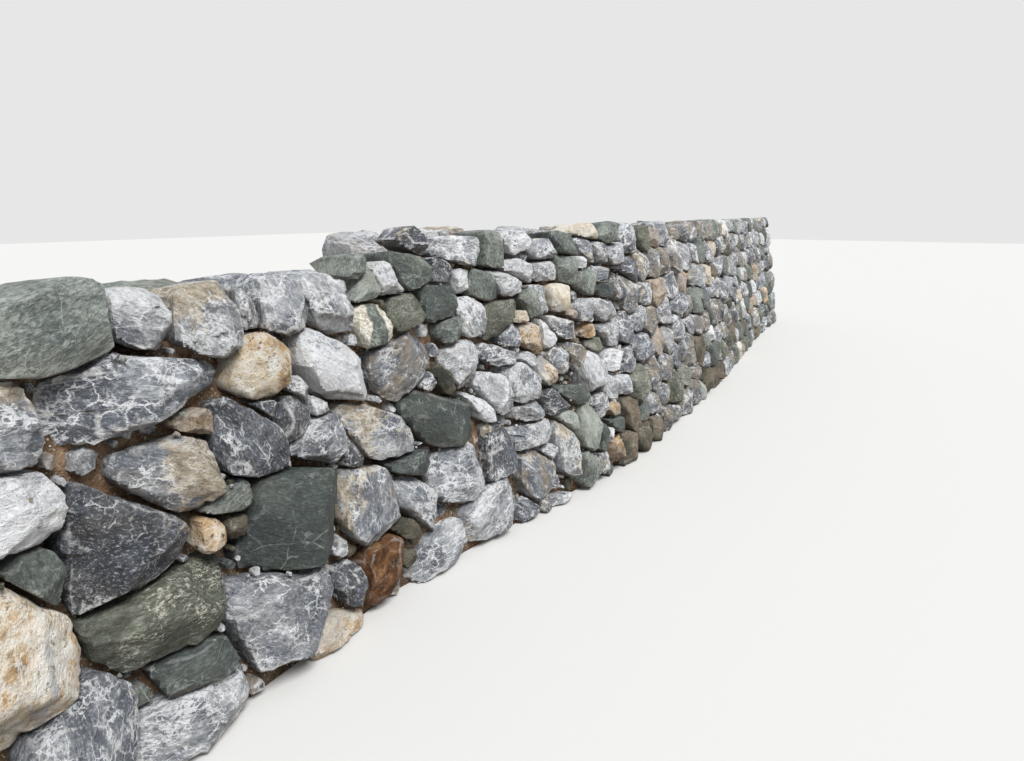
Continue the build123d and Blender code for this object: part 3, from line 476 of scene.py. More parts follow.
def weathering_group():
    """Rubbed edges, painted shade on the undersides, and soil washed into the joints with painted shade
    deeper in them.
    """
    tree, given, out = new_group(
        "stone_weathering_and_shade",
        {"Color": "Color", "At": "Vector", "Edge": "Float", "Behind": "Float", "Rubbed": "Float"},
        {"Color": "Color"})
    rubbed_white, painted_underside_shade, soil_and_shade_brown = paint(226, 225, 222), paint(98, 84, 72), paint(122, 94, 70)
    patch = grain(tree, given["At"], scale=7.0, detail=4.0)
    ragged = grain(tree, given["At"], scale=34.0, rough=0.7)
    edge = scaled(tree, ragged, 1.1, given["Edge"])
    edge = times(tree, step_of(tree, edge, 1.04, 1.38), step_of(tree, patch, 0.30, 0.52))
    color = mixed(tree, times(tree, edge, given["Rubbed"]), given["Color"], rubbed_white)
    normal = add(tree, "ShaderNodeNewGeometry").outputs["Normal"]
    rise = add(tree, "ShaderNodeSeparateXYZ", {0: normal}).outputs[2]
    # Painted shade: faces that point downwards are mixed, in patches, towards a dark brown.
    under = times(tree, step_of(tree, rise, -0.25, -0.8), step_of(tree, patch, 0.3, 0.62, reach=0.75))
    color = mixed(tree, under, color, painted_underside_shade)
    # Soil washed into the joints, and painted shade with it: the further a point lies behind the face, the
    # more it is mixed towards brown, less so on upward faces.
    depth = plus(tree, given["Behind"], times(tree, patch, 0.12))
    fewer_on_upward = times(tree, step_of(tree, rise, 0.3, 0.8), -0.16)
    soil = step_of(tree, plus(tree, depth, fewer_on_upward), 0.38, 0.58, reach=0.55)
    tree.links.new(mixed(tree, soil, color, soil_and_shade_brown), out["Color"])
    return tree


def relief_group():
    """The broken surface of stone: shallow hollows, sharp little steps and grain."""
    tree, given, out = new_group("stone_relief", {"At": "Vector", "Coarse": "Float", "Fine": "Float"},
                                 {"Height": "Float"})
    at = given["At"]
    hollows = grain(tree, drawn_out(tree, at, 0.6, 1.2), scale=17.0, detail=7.0, rough=0.62, bend=0.2)
    steps = add(tree, "ShaderNodeTexVoronoi", {"Vector": at, "Scale": 22.0}, feature="F1",
                distance="CHEBYCHEV").outputs[0]
    coarse = times(tree, scaled(tree, steps, 0.3, hollows), given["Coarse"])
    fine = grain(tree, at, scale=95.0, detail=4.0, rough=0.7)
    tree.links.new(scaled(tree, fine, given["Fine"], coarse), out["Height"])
    return tree


white_calcite, quartz_threads = bloom_group(), thread_group()
stone_weathering_and_shade, stone_relief = weathering_group(), relief_group()


def rock(name):
    """A new rock material, with what the stones' attributes say at each point.

    The mix is how pale, how warm and how stained the stone is, and its tone,
    which paints the shading of its facets. The wear and shade is how close an
    arris is, how many metres the point lies behind the front, which sets the soil
    and the painted shade in the joints, and how far it lies towards the stained
    side, from about -1 to 1.
    """
    material = bpy.data.materials.new(name)
    material.use_nodes = True
    tree = material.node_tree
    given = {"at": add(tree, "ShaderNodeAttribute", attribute_name="rock_at").outputs["Vector"]}
    mix = add(tree, "ShaderNodeAttribute", attribute_name="rock_mix").outputs
    given["tone"] = mix["Alpha"]
    mix = add(tree, "ShaderNodeSeparateColor", {0: mix["Color"]}).outputs
    wear_and_shade = add(tree, "ShaderNodeAttribute", attribute_name="rock_wear_and_shade").outputs["Vector"]
    wear_and_shade = add(tree, "ShaderNodeSeparateXYZ", {0: wear_and_shade}).outputs
    given.update(pale=mix[0], warm=mix[1], stain=mix[2], edge=wear_and_shade[0], behind=wear_and_shade[1], side=wear_and_shade[2])
    return material, tree, given


def finish_rock(material, tree, given, color, rubbed, coarse, fine, roughness, shine=0.35):
    """Weathers the colour and paints shade into it, roughens the surface and joins both to the material."""
    weathered_and_shaded = add(tree, "ShaderNodeGroup",
                    {"Color": color, "At": given["at"], "Edge": given["edge"], "Behind": given["behind"],
                     "Rubbed": rubbed}, node_tree=stone_weathering_and_shade)
    relief = add(tree, "ShaderNodeGroup", {"At": given["at"], "Coarse": coarse, "Fine": fine},
                 node_tree=stone_relief)
    bump = add(tree, "ShaderNodeBump", {"Height": relief.outputs[0], "Strength": 1.0, "Distance": 0.05})
    shader = tree.nodes["Principled BSDF"]
    shader.inputs["Roughness"].default_value = roughness
    shader.inputs["Specular IOR Level"].default_value = shine
    tree.links.new(weathered_and_shaded.outputs["Color"], shader.inputs["Base Color"])
    tree.links.new(bump.outputs[0], shader.inputs["Normal"])
    return material


def calcite(tree, at, scale, share):
    """The mask of white calcite, from its group."""
    return add(tree, "ShaderNodeGroup", {"At": at, "Scale": scale, "Share": share},
               node_tree=white_calcite).outputs[0]


def quartz(tree, at, scale, width):
    """The mask of quartz threads, from their group."""
    return add(tree, "ShaderNodeGroup", {"At": at, "Scale": scale, "Width": width},
               node_tree=quartz_threads).outputs[0]


def marble():
    """Blue-grey marble, drawn out along its bedding, netted and flecked with white.

    Over the ground come dark and pale grit, a brown film, calcite, threads of
    quartz, and a cream stain that spreads from one side of the stone.
    """
    material, tree, given = rock("blue_grey_marble")
    at, pale = given["at"], given["pale"]
    broad = grain(tree, drawn_out(tree, at, 0.7), scale=5.0, detail=4.0, rough=0.55)
    patches = grain(tree, drawn_out(tree, at, 0.5), scale=19.0, detail=8.0, rough=0.66, bend=0.2)
    streaks = grain(tree, drawn_out(tree, at, 0.45), scale=80.0, rough=0.75)
    tone = scaled(tree, patches, 0.7, times(tree, broad, 0.9))
    tone = scaled(tree, streaks, 0.55, tone)
    # Painted shading of the facets, from the tone of each.
    tone = scaled(tree, given["tone"], 0.45, tone)
    tone = plus(tree, tone, scaled(tree, pale, 0.80, -1.16))
    color = shades(tree, tone, {0.0: (52, 55, 61), 0.25: (86, 90, 98), 0.5: (124, 129, 137),
                                0.75: (184, 187, 191), 1.0: (238, 238, 239)})
    dark_grit = mixed(tree, pale, paint(56, 59, 66), paint(150, 152, 157))
    color = mixed(tree, step_of(tree, streaks, 0.45, 0.34, reach=0.6), color, dark_grit)
    color = mixed(tree, step_of(tree, streaks, 0.53, 0.64, reach=0.6), color, paint(212, 214, 217))
    film = times(tree, step_of(tree, grain(tree, at, scale=5.0), 0.40, 0.58), given["warm"])
    color = mixed(tree, film, color, mixed(tree, patches, paint(84, 74, 64), paint(196, 186, 170)))
    bloom = calcite(tree, drawn_out(tree, at, 0.75), scale=13.0, share=scaled(tree, pale, 0.24, -0.05))
    color = mixed(tree, times(tree, bloom, 0.9), color, paint(244, 245, 246))
    threads = quartz(tree, at, scale=4.5, width=0.007)
    color = mixed(tree, times(tree, threads, 0.5), color, paint(240, 240, 241))
    edge = scaled(tree, given["stain"], -0.30, 0.74)
    there = scaled(tree, given["side"], 0.16, grain(tree, at, scale=3.4, detail=6.0))
    there = scaled(tree, patches, 0.60, there)
    stained = step_of(tree, worked(tree, "SUBTRACT", there, edge), 0.28, 0.37, reach=0.80)
    cream = shades(tree, scaled(tree, bloom, 0.16, patches), {
        0.34: (134, 118, 96), 0.5: (186, 170, 144), 0.66: (230, 221, 204)})
    color = mixed(tree, stained, color, cream)
    return finish_rock(material, tree, given, color, rubbed=0.8, coarse=1.25, fine=0.40, roughness=0.75)


def greenstone():
    """Dark greenstone that splits into flat faces, netted with pale green in patches.

    Over the ground come a brown film, calcite, threads of quartz, and a cream
    border at the two ends of a stone that has one.
    """
    material, tree, given = rock("greenstone")
    at, pale = given["at"], given["pale"]
    mottle = grain(tree, drawn_out(tree, at, 0.6), scale=7.0, detail=8.0, rough=0.62, bend=0.3)
    fine = grain(tree, drawn_out(tree, at, 0.5), scale=70.0, rough=0.75)
    tone = scaled(tree, mottle, 0.75, scaled(tree, pale, 0.6, -0.22))
    tone = scaled(tree, fine, 1.40, worked(tree, "SUBTRACT", tone, 0.76))
    # Painted shading of the facets, from the tone of each.
    tone = scaled(tree, given["tone"], 0.22, tone)
    color = shades(tree, tone, {0.0: (44, 49, 48), 0.30: (66, 73, 71), 0.55: (98, 105, 101),
                                1.0: (186, 190, 182)})
    film = times(tree, step_of(tree, grain(tree, at, scale=3.0, detail=4.0), 0.42, 0.66), given["warm"])
    color = mixed(tree, film, color, paint(112, 108, 92))
    bloom = calcite(tree, drawn_out(tree, at, 0.8), scale=16.0, share=scaled(tree, pale, 0.22, -0.094))
    color = mixed(tree, times(tree, bloom, 0.50), color, paint(178, 186, 174))
    threads = quartz(tree, at, scale=3.6, width=0.008)
    color = mixed(tree, times(tree, threads, 0.55), color, paint(184, 192, 180))
    ends = worked(tree, "ABSOLUTE", given["side"])
    border = step_of(tree, scaled(tree, mottle, 1.5, ends), 1.13, 1.25)
    cream = mixed(tree, step_of(tree, fine, 0.40, 0.60), paint(178, 170, 150), paint(236, 233, 222))
    color = mixed(tree, times(tree, border, given["stain"]), color, cream)
    return finish_rock(material, tree, given, color, rubbed=0.12, coarse=0.38, fine=0.25, roughness=0.62)


def sandstone():
    """Cream to rust-coloured sandstone, pitted and stained with iron.

    Over the ground come a stain of iron, calcite, rusty pits, and a grey skin
    on the pale kinds.
    """
    material, tree, given = rock("sandstone")
    at, warm, stain, side = given["at"], given["warm"], given["stain"], given["side"]
    mottle = grain(tree, at, scale=9.0, detail=9.0, rough=0.72, bend=0.4)
    cream = shades(tree, mottle, {0.32: (172, 148, 114), 0.42: (222, 202, 172), 0.52: (242, 231, 210),
                                  0.62: (252, 249, 242)})
    rust = shades(tree, mottle, {0.32: (54, 38, 28), 0.45: (98, 65, 40), 0.56: (136, 95, 60),
                                 0.72: (190, 160, 124)})
    color = mixed(tree, warm, cream, rust)
    there = scaled(tree, side, 0.12, grain(tree, at, scale=4.2, detail=6.0, rough=0.65))
    there = plus(tree, there, scaled(tree, stain, 0.3, -0.15))
    iron = shades(tree, mottle, {0.36: (118, 88, 58), 0.5: (212, 174, 124), 0.64: (238, 218, 184)})
    color = mixed(tree, step_of(tree, there, 0.50, 0.60, reach=0.85), color, iron)
    bloom = calcite(tree, at, scale=11.0, share=scaled(tree, given["pale"], 0.16, 0.06))
    bloom = times(tree, bloom, scaled(tree, warm, -0.5, 0.65))
    color = mixed(tree, bloom, color, paint(250, 246, 236))
    pits = step_of(tree, grain(tree, at, scale=40.0, detail=4.0, rough=0.7), 0.44, 0.36)
    pits = times(tree, pits, step_of(tree, grain(tree, at, scale=9.0), 0.42, 0.56))
    pits = times(tree, pits, scaled(tree, stain, 1.0, 0.2))
    color = mixed(tree, pits, color, paint(92, 62, 38))
    skin = scaled(tree, side, -0.10, grain(tree, drawn_out(tree, at, 0.5), scale=5.0))
    skin = times(tree, step_of(tree, skin, 0.54, 0.62, reach=0.8), given["pale"])
    color = mixed(tree, skin, color, paint(182, 184, 188))
    return finish_rock(material, tree, given, color, rubbed=0.3, coarse=0.75, fine=0.55, roughness=0.88,
                       shine=0.25)


def fieldstone():
    """Olive and brown-grey stone, rounded, with a cream net over a dark ground."""
    material, tree, given = rock("fieldstone")
    at = given["at"]
    mottle = grain(tree, drawn_out(tree, at, 0.7), scale=10.0, detail=9.0, rough=0.72, bend=0.4)
    fine = grain(tree, drawn_out(tree, at, 0.5), scale=80.0, detail=3.0, rough=0.75)
    tone = scaled(tree, mottle, 1.0, scaled(tree, given["pale"], 0.8, -0.86))
    tone = scaled(tree, fine, 0.8, tone)
    # Painted shading of the facets, from the tone of each.
    tone = scaled(tree, given["tone"], 0.16, tone)
    color = shades(tree, tone, {0.1: (50, 53, 46), 0.38: (86, 90, 79), 0.54: (118, 122, 110),
                                0.75: (166, 164, 154), 1.0: (210, 208, 200)})
    film = times(tree, step_of(tree, grain(tree, at, scale=3.5, detail=3.0), 0.3, 0.65), given["warm"])
    color = mixed(tree, film, color, mixed(tree, fine, paint(84, 72, 60), paint(180, 166, 144)))
    there = scaled(tree, given["side"], 0.60, given["stain"])
    bloom = calcite(tree, drawn_out(tree, at, 0.8), scale=30.0, share=scaled(tree, there, 0.11, -0.05))
    bloom = times(tree, bloom, step_of(tree, fine, 0.40, 0.58, reach=0.85))
    color = mixed(tree, bloom, color, paint(216, 212, 196))
    return finish_rock(material, tree, given, color, rubbed=0.06, coarse=0.9, fine=0.35, roughness=0.8,
                       shine=0.3)


# The four rocks, by the numbers of their materials, and the ways in which they
# break: how sharp the arrises stay, how many chips and scars there are, and how
# deep these, the ledges and the roughness go, as shares of the stone's size.
rocks = [marble(), greenstone(), sandstone(), fieldstone()]
grey_rock, green_rock, sand_rock, field_rock = range(4)
split = {"sharp": 220.0, "chips": 2, "frontal": 0.8, "chip_depth": 0.07, "bend": 0.022, "rough": 0.022,
         "ledge": 0.014, "scars": 14, "scar": 0.026}
broken = {"sharp": 150.0, "chips": 8, "frontal": 1.1, "chip_depth": 0.20, "bend": 0.045, "rough": 0.040,
          "ledge": 0.018, "scars": 26, "scar": 0.065}
worn = {"sharp": 30.0, "chips": 12, "frontal": 0.5, "chip_depth": 0.14, "bend": 0.08, "rough": 0.045,
        "ledge": 0.0, "scars": 14, "scar": 0.022}

# Each kind of stone: its rock, then how pale, how warm and how stained it is,
# and how it is broken. A "side" is the way in which a stain lies, in degrees
# from the right, where the others' ways are drawn by chance.
kinds = {
    "coal": (grey_rock, 0.04, 0.1, 0.0, broken),
    "charcoal": (grey_rock, 0.13, 0.15, 0.0, broken),
    "dark": (grey_rock, 0.23, 0.1, 0.0, broken),
    "dim": (grey_rock, 0.40, 0.15, 0.0, broken),
    "veined": (grey_rock, 0.55, 0.05, 0.0, broken),
    "grey": (grey_rock, 0.57, 0.35, 0.1, broken),
    "mottled": (grey_rock, 0.73, 0.15, 0.1, broken),
    "bright": (grey_rock, 0.94, 0.1, 0.0, broken),
    "white": (grey_rock, 1.0, 0.05, 0.0, broken),
    "brown_grey": (grey_rock, 0.20, 0.9, 0.2, broken),
    "warm_grey": (grey_rock, 0.37, 0.95, 0.2, broken),
    "stained": (grey_rock, 0.56, 0.2, 0.75, broken),
    "stained_right": (grey_rock, 0.48, 0.3, 0.85, {**broken, "side": 0}),
    "stained_top": (grey_rock, 0.54, 0.2, 0.7, {**broken, "side": 120}),
    "bottle_green": (green_rock, 0.06, 0.2, 0.0, split),
    "deep_green": (green_rock, 0.27, 0.2, 0.0, split),
    "green": (green_rock, 0.55, 0.3, 0.0, split),
    "mid_green": (green_rock, 0.67, 0.3, 0.0, split),
    "pale_green": (green_rock, 1.0, 0.4, 0.0, split),
    "bordered": (green_rock, 0.55, 0.5, 1.0, {**split, "side": 0}),
    "cream": (sand_rock, 1.0, 0.0, 0.5, {**broken, "side": 0}),
    "ivory": (sand_rock, 0.6, 0.0, 0.0, worn),
    "pitted": (sand_rock, 0.0, 0.0, 0.62, {**worn, "side": 0}),
    "honey": (sand_rock, 0.3, 0.15, 0.5, broken),
    "amber": (sand_rock, 0.2, 0.1, 1.0, broken),
    "tan": (sand_rock, 0.5, 0.62, 0.4, broken),
    "orange": (sand_rock, 0.2, 0.7, 0.7, broken),
    "rust": (sand_rock, 0.0, 1.0, 0.0, worn),
    "olive": (field_rock, 0.35, 0.1, 1.0, {**broken, "side": 0}),
    "flat_olive": (field_rock, 0.50, 0.1, 0.0, split),
    "brown": (field_rock, 0.08, 0.8, 0.1, broken),
    "deep_brown": (field_rock, 0.0, 0.5, 0.0, broken),
}

# Where the stones of each kind lie in the face, as metres along the wall from
# its near end and metres up. The stones between them are drawn by chance, each
# kind with its share of the stones at the foot and at the top.
places = {
    "coal": [(1.87, 1.46)],
    "charcoal": [(1.03, 1.12), (2.05, 1.34), (4.61, 0.91), (2.43, 1.08), (3.33, 2.31), (3.52, 2.09)],
    "dark": [(1.75, 1.34), (7.67, 1.62), (3.24, 1.33), (4.07, 0.11), (2.23, 0.28), (3.85, 0.67),
             (6.31, 1.90), (7.64, 0.76), (6.46, 1.06)],
    "dim": [(1.75, 0.38), (4.16, 1.52), (4.03, 1.41), (6.03, 1.34), (7.79, 1.09), (6.42, 2.23),
            (5.32, 2.16), (9.58, 1.91), (10.49, 1.29), (11.59, 2.00), (5.29, 0.72), (6.02, 1.02)],
    "veined": [(1.25, 1.70), (2.94, 0.52), (2.19, 1.20), (0.66, 0.30), (3.40, 0.61), (5.61, 1.92),
               (2.12, 2.00), (4.71, 2.20), (3.03, 0.16), (6.42, 1.38)],
    "grey": [(0.65, 1.70), (4.87, 1.52), (5.25, 1.63), (11.52, 1.64), (2.10, 1.53), (5.60, 1.33),
             (4.27, 0.88), (5.60, 1.59), (1.89, 2.00), (6.00, 2.10), (7.35, 1.35), (8.38, 1.93),
             (9.07, 1.62), (7.32, 1.01), (5.62, 2.14)],
    "mottled": [(1.14, 0.16), (3.59, 1.40), (3.89, 1.10), (4.22, 1.14), (4.35, 1.31), (3.76, 1.72),
                (4.39, 2.26), (4.59, 1.78), (5.51, 0.84), (5.84, 0.81), (4.43, 0.50), (4.53, 0.06),
                (1.67, 0.05), (1.33, 2.01), (3.68, 0.25), (3.73, 2.22), (4.20, 1.93), (2.47, 1.96),
                (4.68, 2.01), (6.73, 1.62), (4.26, 0.69)],
    "bright": [(4.37, 2.03), (4.62, 1.48), (3.02, 2.06), (5.23, 1.07)],
    "white": [(0.62, 1.37), (3.73, 1.04), (2.26, 1.41), (2.45, 1.60), (5.24, 2.04), (4.88, 1.05),
              (5.63, 1.09), (5.37, 0.42), (3.71, 1.98), (6.50, 1.65), (6.60, 0.85)],
    "brown_grey": [(8.35, 0.41), (8.23, 0.20), (9.09, 1.00), (9.70, 1.06), (11.30, 0.82), (10.79, 0.81),
                   (8.11, 0.78), (7.01, 0.16), (8.01, 2.22), (7.49, 1.93), (10.14, 1.03), (8.67, 1.01)],
    "warm_grey": [(5.19, 0.17), (8.49, 2.23), (9.28, 2.23), (9.75, 2.22), (7.38, 0.12), (3.05, 1.49),
                  (4.23, 0.37), (3.84, 0.04), (4.28, 0.06), (4.95, 1.24), (4.73, 1.23), (6.85, 1.30),
                  (7.88, 1.99), (7.08, 1.95), (7.16, 0.73), (6.27, 1.69), (6.73, 0.71), (6.73, 1.94),
                  (6.64, 0.42), (7.81, 0.17)],
    "stained": [(4.70, 0.46)],
    "stained_right": [(1.30, 1.32)],
    "stained_top": [(1.63, 1.98), (2.51, 0.71), (2.70, 1.13)],
    "mid_green": [(0.86, 2.04), (4.12, 2.22), (5.25, 1.87), (4.43, 1.77), (2.76, 2.18)],
    "green": [(0.84, 1.07), (3.25, 2.10), (3.53, 1.65), (3.93, 1.96), (5.00, 2.01), (5.00, 2.23),
              (5.92, 2.31), (4.93, 0.18), (6.85, 2.15), (1.53, 1.10)],
    "bottle_green": [(1.22, 0.39), (1.91, 0.84)],
    "deep_green": [(0.66, 1.07), (3.32, 1.05), (3.47, 1.87), (2.93, 0.82), (5.63, 1.77), (4.83, 0.94),
                   (5.24, 0.43), (5.65, 0.35), (9.40, 0.48), (5.56, 0.47)],
    "pale_green": [(5.03, 0.56), (4.73, 0.72), (7.95, 1.75), (2.79, 2.05)],
    "bordered": [(2.82, 1.80)],
    "cream": [(0.52, 0.77), (4.33, 1.66), (4.53, 1.18), (6.75, 2.35), (7.30, 2.35)],
    "ivory": [(4.85, 1.78), (5.43, 2.32)],
    "pitted": [(1.91, 1.71)],
    "honey": [(2.10, 0.09)],
    "amber": [(4.40, 1.48), (1.42, 0.96)],
    "tan": [(6.94, 1.08), (1.45, 1.50), (4.98, 1.62), (5.53, 0.63), (7.15, 2.10), (7.18, 1.59),
            (8.15, 1.50), (8.65, 1.50)],
    "orange": [(5.22, 1.43), (5.50, 0.21), (5.75, 1.30), (7.05, 1.70), (9.95, 2.10)],
    "rust": [(2.54, 0.25)],
    "olive": [(1.13, 0.70), (7.42, 0.43), (10.11, 0.41), (10.62, 0.47)],
    "brown": [(8.87, 0.21), (9.36, 0.16), (9.70, 0.17), (12.10, 0.43), (5.80, 0.17), (6.23, 0.17),
              (5.91, 0.48), (8.61, 0.66), (6.63, 0.16)],
    "deep_brown": [(1.56, 0.95), (2.76, 0.22), (2.80, 0.41), (3.40, 1.32)],
    "flat_olive": [(3.14, 1.83), (4.10, 1.70), (5.31, 1.29), (6.28, 0.73), (6.82, 2.21), (7.86, 0.47)],
}
chances = {
    "charcoal": (6, 4), "dark": (10, 7), "dim": (11, 10), "veined": (6, 12), "grey": (10, 14),
    "mottled": (4, 11), "bright": (0, 6), "white": (0, 4), "warm_grey": (22, 17), "stained": (6, 6),
    "green": (9, 9), "mid_green": (4, 6), "deep_green": (6, 3), "pale_green": (1, 3), "cream": (1, 2),
    "honey": (2, 2), "tan": (3, 2), "orange": (1, 1), "olive": (5, 2), "flat_olive": (7, 4),
    "brown": (6, 2),
}
courses = {"base_course": "foot_boulders", "lower_course": "lower_boulders",
           "upper_course": "upper_boulders", "coping": "coping_boulders"}
face_stones = {f"{course}_{bay}": stones_in(f"{course}_{bay}") for course in courses for bay in bay_names}


def name_kinds():
    """Gives each listed place to the nearest stone of the face, if its middle is close enough."""
    close_enough = 0.14
    stones = [stone for node in face_stones.values() for stone in node]
    outlines = [stone["corners"] for stone in stones]
    middles = np.array([(outline.min(axis=0) + outline.max(axis=0)) / 2 for outline in outlines])
    for kind, spots in places.items():
        for along, up in spots:
            away = np.hypot(middles[:, 0] - cad_low.x - along, middles[:, 2] - up)
            if away.min() < close_enough:
                stones[away.argmin()]["kind"] = kind


def kind_by_chance(stone, rng):
    """A kind by its share of the wall, which goes evenly from the foot to the top."""
    up = stone["middle"][2] / cad_high.z
    names = list(chances)
    foot, top = np.array([chances[name] for name in names], float).T
    weights = foot + (top - foot) * up
    return names[rng.choice(len(names), p=weights / weights.sum())]


def boulder_part(stone, kind, facing, grid, rng, own_build=None):
    """One boulder with its rock, as a part for a piece."""
    pale_spread = 0.05
    finish, pale, warm, stain, build = kinds[kind]
    surface, wear_and_shade, tone, axes = boulder(stone, facing, grid, own_build or build, rng)
    mix = np.tile([pale + rng.normal() * pale_spread, warm, stain, 0.0], (len(surface), 1)).clip(0, 1)
    mix[:, 3] = tone
    return {"points": surface, "faces": grid[1:], "finish": finish, "rock_wear_and_shade": wear_and_shade, "rock_mix": mix,
            "rock_at": pattern_of(surface, stone, axes, rng)}


def boulders_for(stones, facing, grid, rng):
    """A boulder for each stone, of the kind that its place has, or else of one drawn by chance."""
    parts = []
    for stone in stones:
        kind = stone.get("kind") or kind_by_chance(stone, rng)
        parts.append(boulder_part(stone, kind, facing, grid, rng))
    return parts


towards_front = (0.0, -1.0, 0.0)
near_grids = dict(zip(bay_names, [box_grid(28, 9), box_grid(25, 8), box_grid(20, 6)]))
grids = {bay: near_grids.get(bay, box_grid(15, 5)) for bay in bay_names}


def lay_course(course, bay, seed):
    """The boulders of one course in one bay, which stand for that course's stones."""
    rng = np.random.default_rng(seed)
    node = f"{course}_{bay}"
    parts = boulders_for(face_stones[node], towards_front, grids[bay], rng)
    piece = piece_from(f"{courses[course]}_{bay}", parts, rocks)
    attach(piece, "root")
    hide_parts(node)


name_kinds()
for bay in bay_names:
    lay_course("base_course", bay, 100 + int(bay))

# The boulders of the lower and upper face. They are smaller upwards, each laid
# across the joints below it, without mortar, and the face leans back.
for bay in bay_names:
    lay_course("lower_course", bay, 200 + int(bay))
    lay_course("upper_course", bay, 300 + int(bay))

# The coping. Its stones are no better than the others, only chosen to end the
# wall near one line, and their backs show above the rubble.
for bay in bay_names:
    lay_course("coping", bay, 400 + int(bay))

# The pinning stones. Splinters of the same rock, driven into the hollows
# between the boulders from the front so that nothing rocks.
splinter = {"sharp": 200.0, "chips": 8, "frontal": 0.5, "chip_depth": 0.28, "bend": 0.05, "rough": 0.03,
            "ledge": 0.0, "scars": 6, "scar": 0.05}
pin_kinds = ["veined", "grey", "mottled", "white", "green", "tan", "dark", "warm_grey", "brown"]
pin_grid = box_grid(8, 4)
pin_stones = {bay: stones_in(f"chinking_{bay}") for bay in bay_names}
for bay in bay_names:
    rng = np.random.default_rng(500 + int(bay))
    parts = []
    for stone in pin_stones[bay]:
        kind = pin_kinds[rng.integers(len(pin_kinds))]
        parts.append(boulder_part(stone, kind, towards_front, pin_grid, rng, splinter))
    pins = piece_from(f"pinning_stones_{bay}", parts, rocks)
    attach(pins, "root")
    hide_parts(f"chinking_{bay}")

# The rear. Rougher and larger stones of the same kinds, laid dry behind the
# rubble to hold it in.
towards_rear = (0.0, 1.0, 0.0)
rear_grid = box_grid(12, 4)
for bay in bay_names:
    rng = np.random.default_rng(600 + int(bay))
    parts = boulders_for(stones_in(f"backing_{bay}"), towards_rear, rear_grid, rng)
    rear = piece_from(f"rear_boulders_{bay}", parts, rocks)
    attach(rear, "root")
    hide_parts(f"backing_{bay}")

# The two ends. Upright columns of boulders close the rubble between the face
# and the rear.
for side, facing in (("near_end", (-1.0, 0.0, 0.0)), ("far_end", (1.0, 0.0, 0.0))):
    rng = np.random.default_rng(700)
    parts = boulders_for(stones_in(side), facing, rear_grid, rng)
    end = piece_from(f"{side}_boulders", parts, rocks)
    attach(end, "root")
    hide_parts(side)

# The hearting. Red-brown soil and broken rock, thrown in behind each course
# and trodden down, level with the coping's backs.
soil_spacing = 0.06


def packed_soil():
    """Stony soil: a lumpy brown ground, dark where it is damp, with pale grit in it."""
    material = bpy.data.materials.new("packed_soil")
    material.use_nodes = True
    tree = material.node_tree
    at = add(tree, "ShaderNodeTexCoord").outputs["Object"]
    lumps = grain(tree, at, scale=9.0, detail=8.0, rough=0.7, bend=0.4)
    color = shades(tree, lumps, {0.32: (84, 66, 52), 0.5: (138, 110, 86), 0.68: (186, 164, 138)})
    damp = step_of(tree, grain(tree, at, scale=3.2, detail=4.0), 0.44, 0.60, reach=0.75)
    color = mixed(tree, damp, color, paint(76, 64, 50))
    grit = add(tree, "ShaderNodeTexVoronoi", {"Vector": at, "Scale": 62.0}, feature="F1").outputs
    stone = step_of(tree, grit[0], 0.42, 0.30)
    few = step_of(tree, grain(tree, at, scale=14.0, detail=3.0), 0.42, 0.54)
    tone = add(tree, "ShaderNodeSeparateColor", {0: grit[1]}).outputs[0]
    grit_color = shades(tree, tone, {0.0: (120, 108, 96), 0.5: (176, 160, 138), 1.0: (212, 206, 196)})
    color = mixed(tree, times(tree, stone, few), color, grit_color)
    height = scaled(tree, stone, 0.35, lumps)
    bump = add(tree, "ShaderNodeBump", {"Height": height, "Strength": 1.0, "Distance": 0.03})
    shader = tree.nodes["Principled BSDF"]
    shader.inputs["Roughness"].default_value = 0.95
    shader.inputs["Specular IOR Level"].default_value = 0.15
    tree.links.new(color, shader.inputs["Base Color"])
    tree.links.new(bump.outputs[0], shader.inputs["Normal"])
    return material


soil = packed_soil()


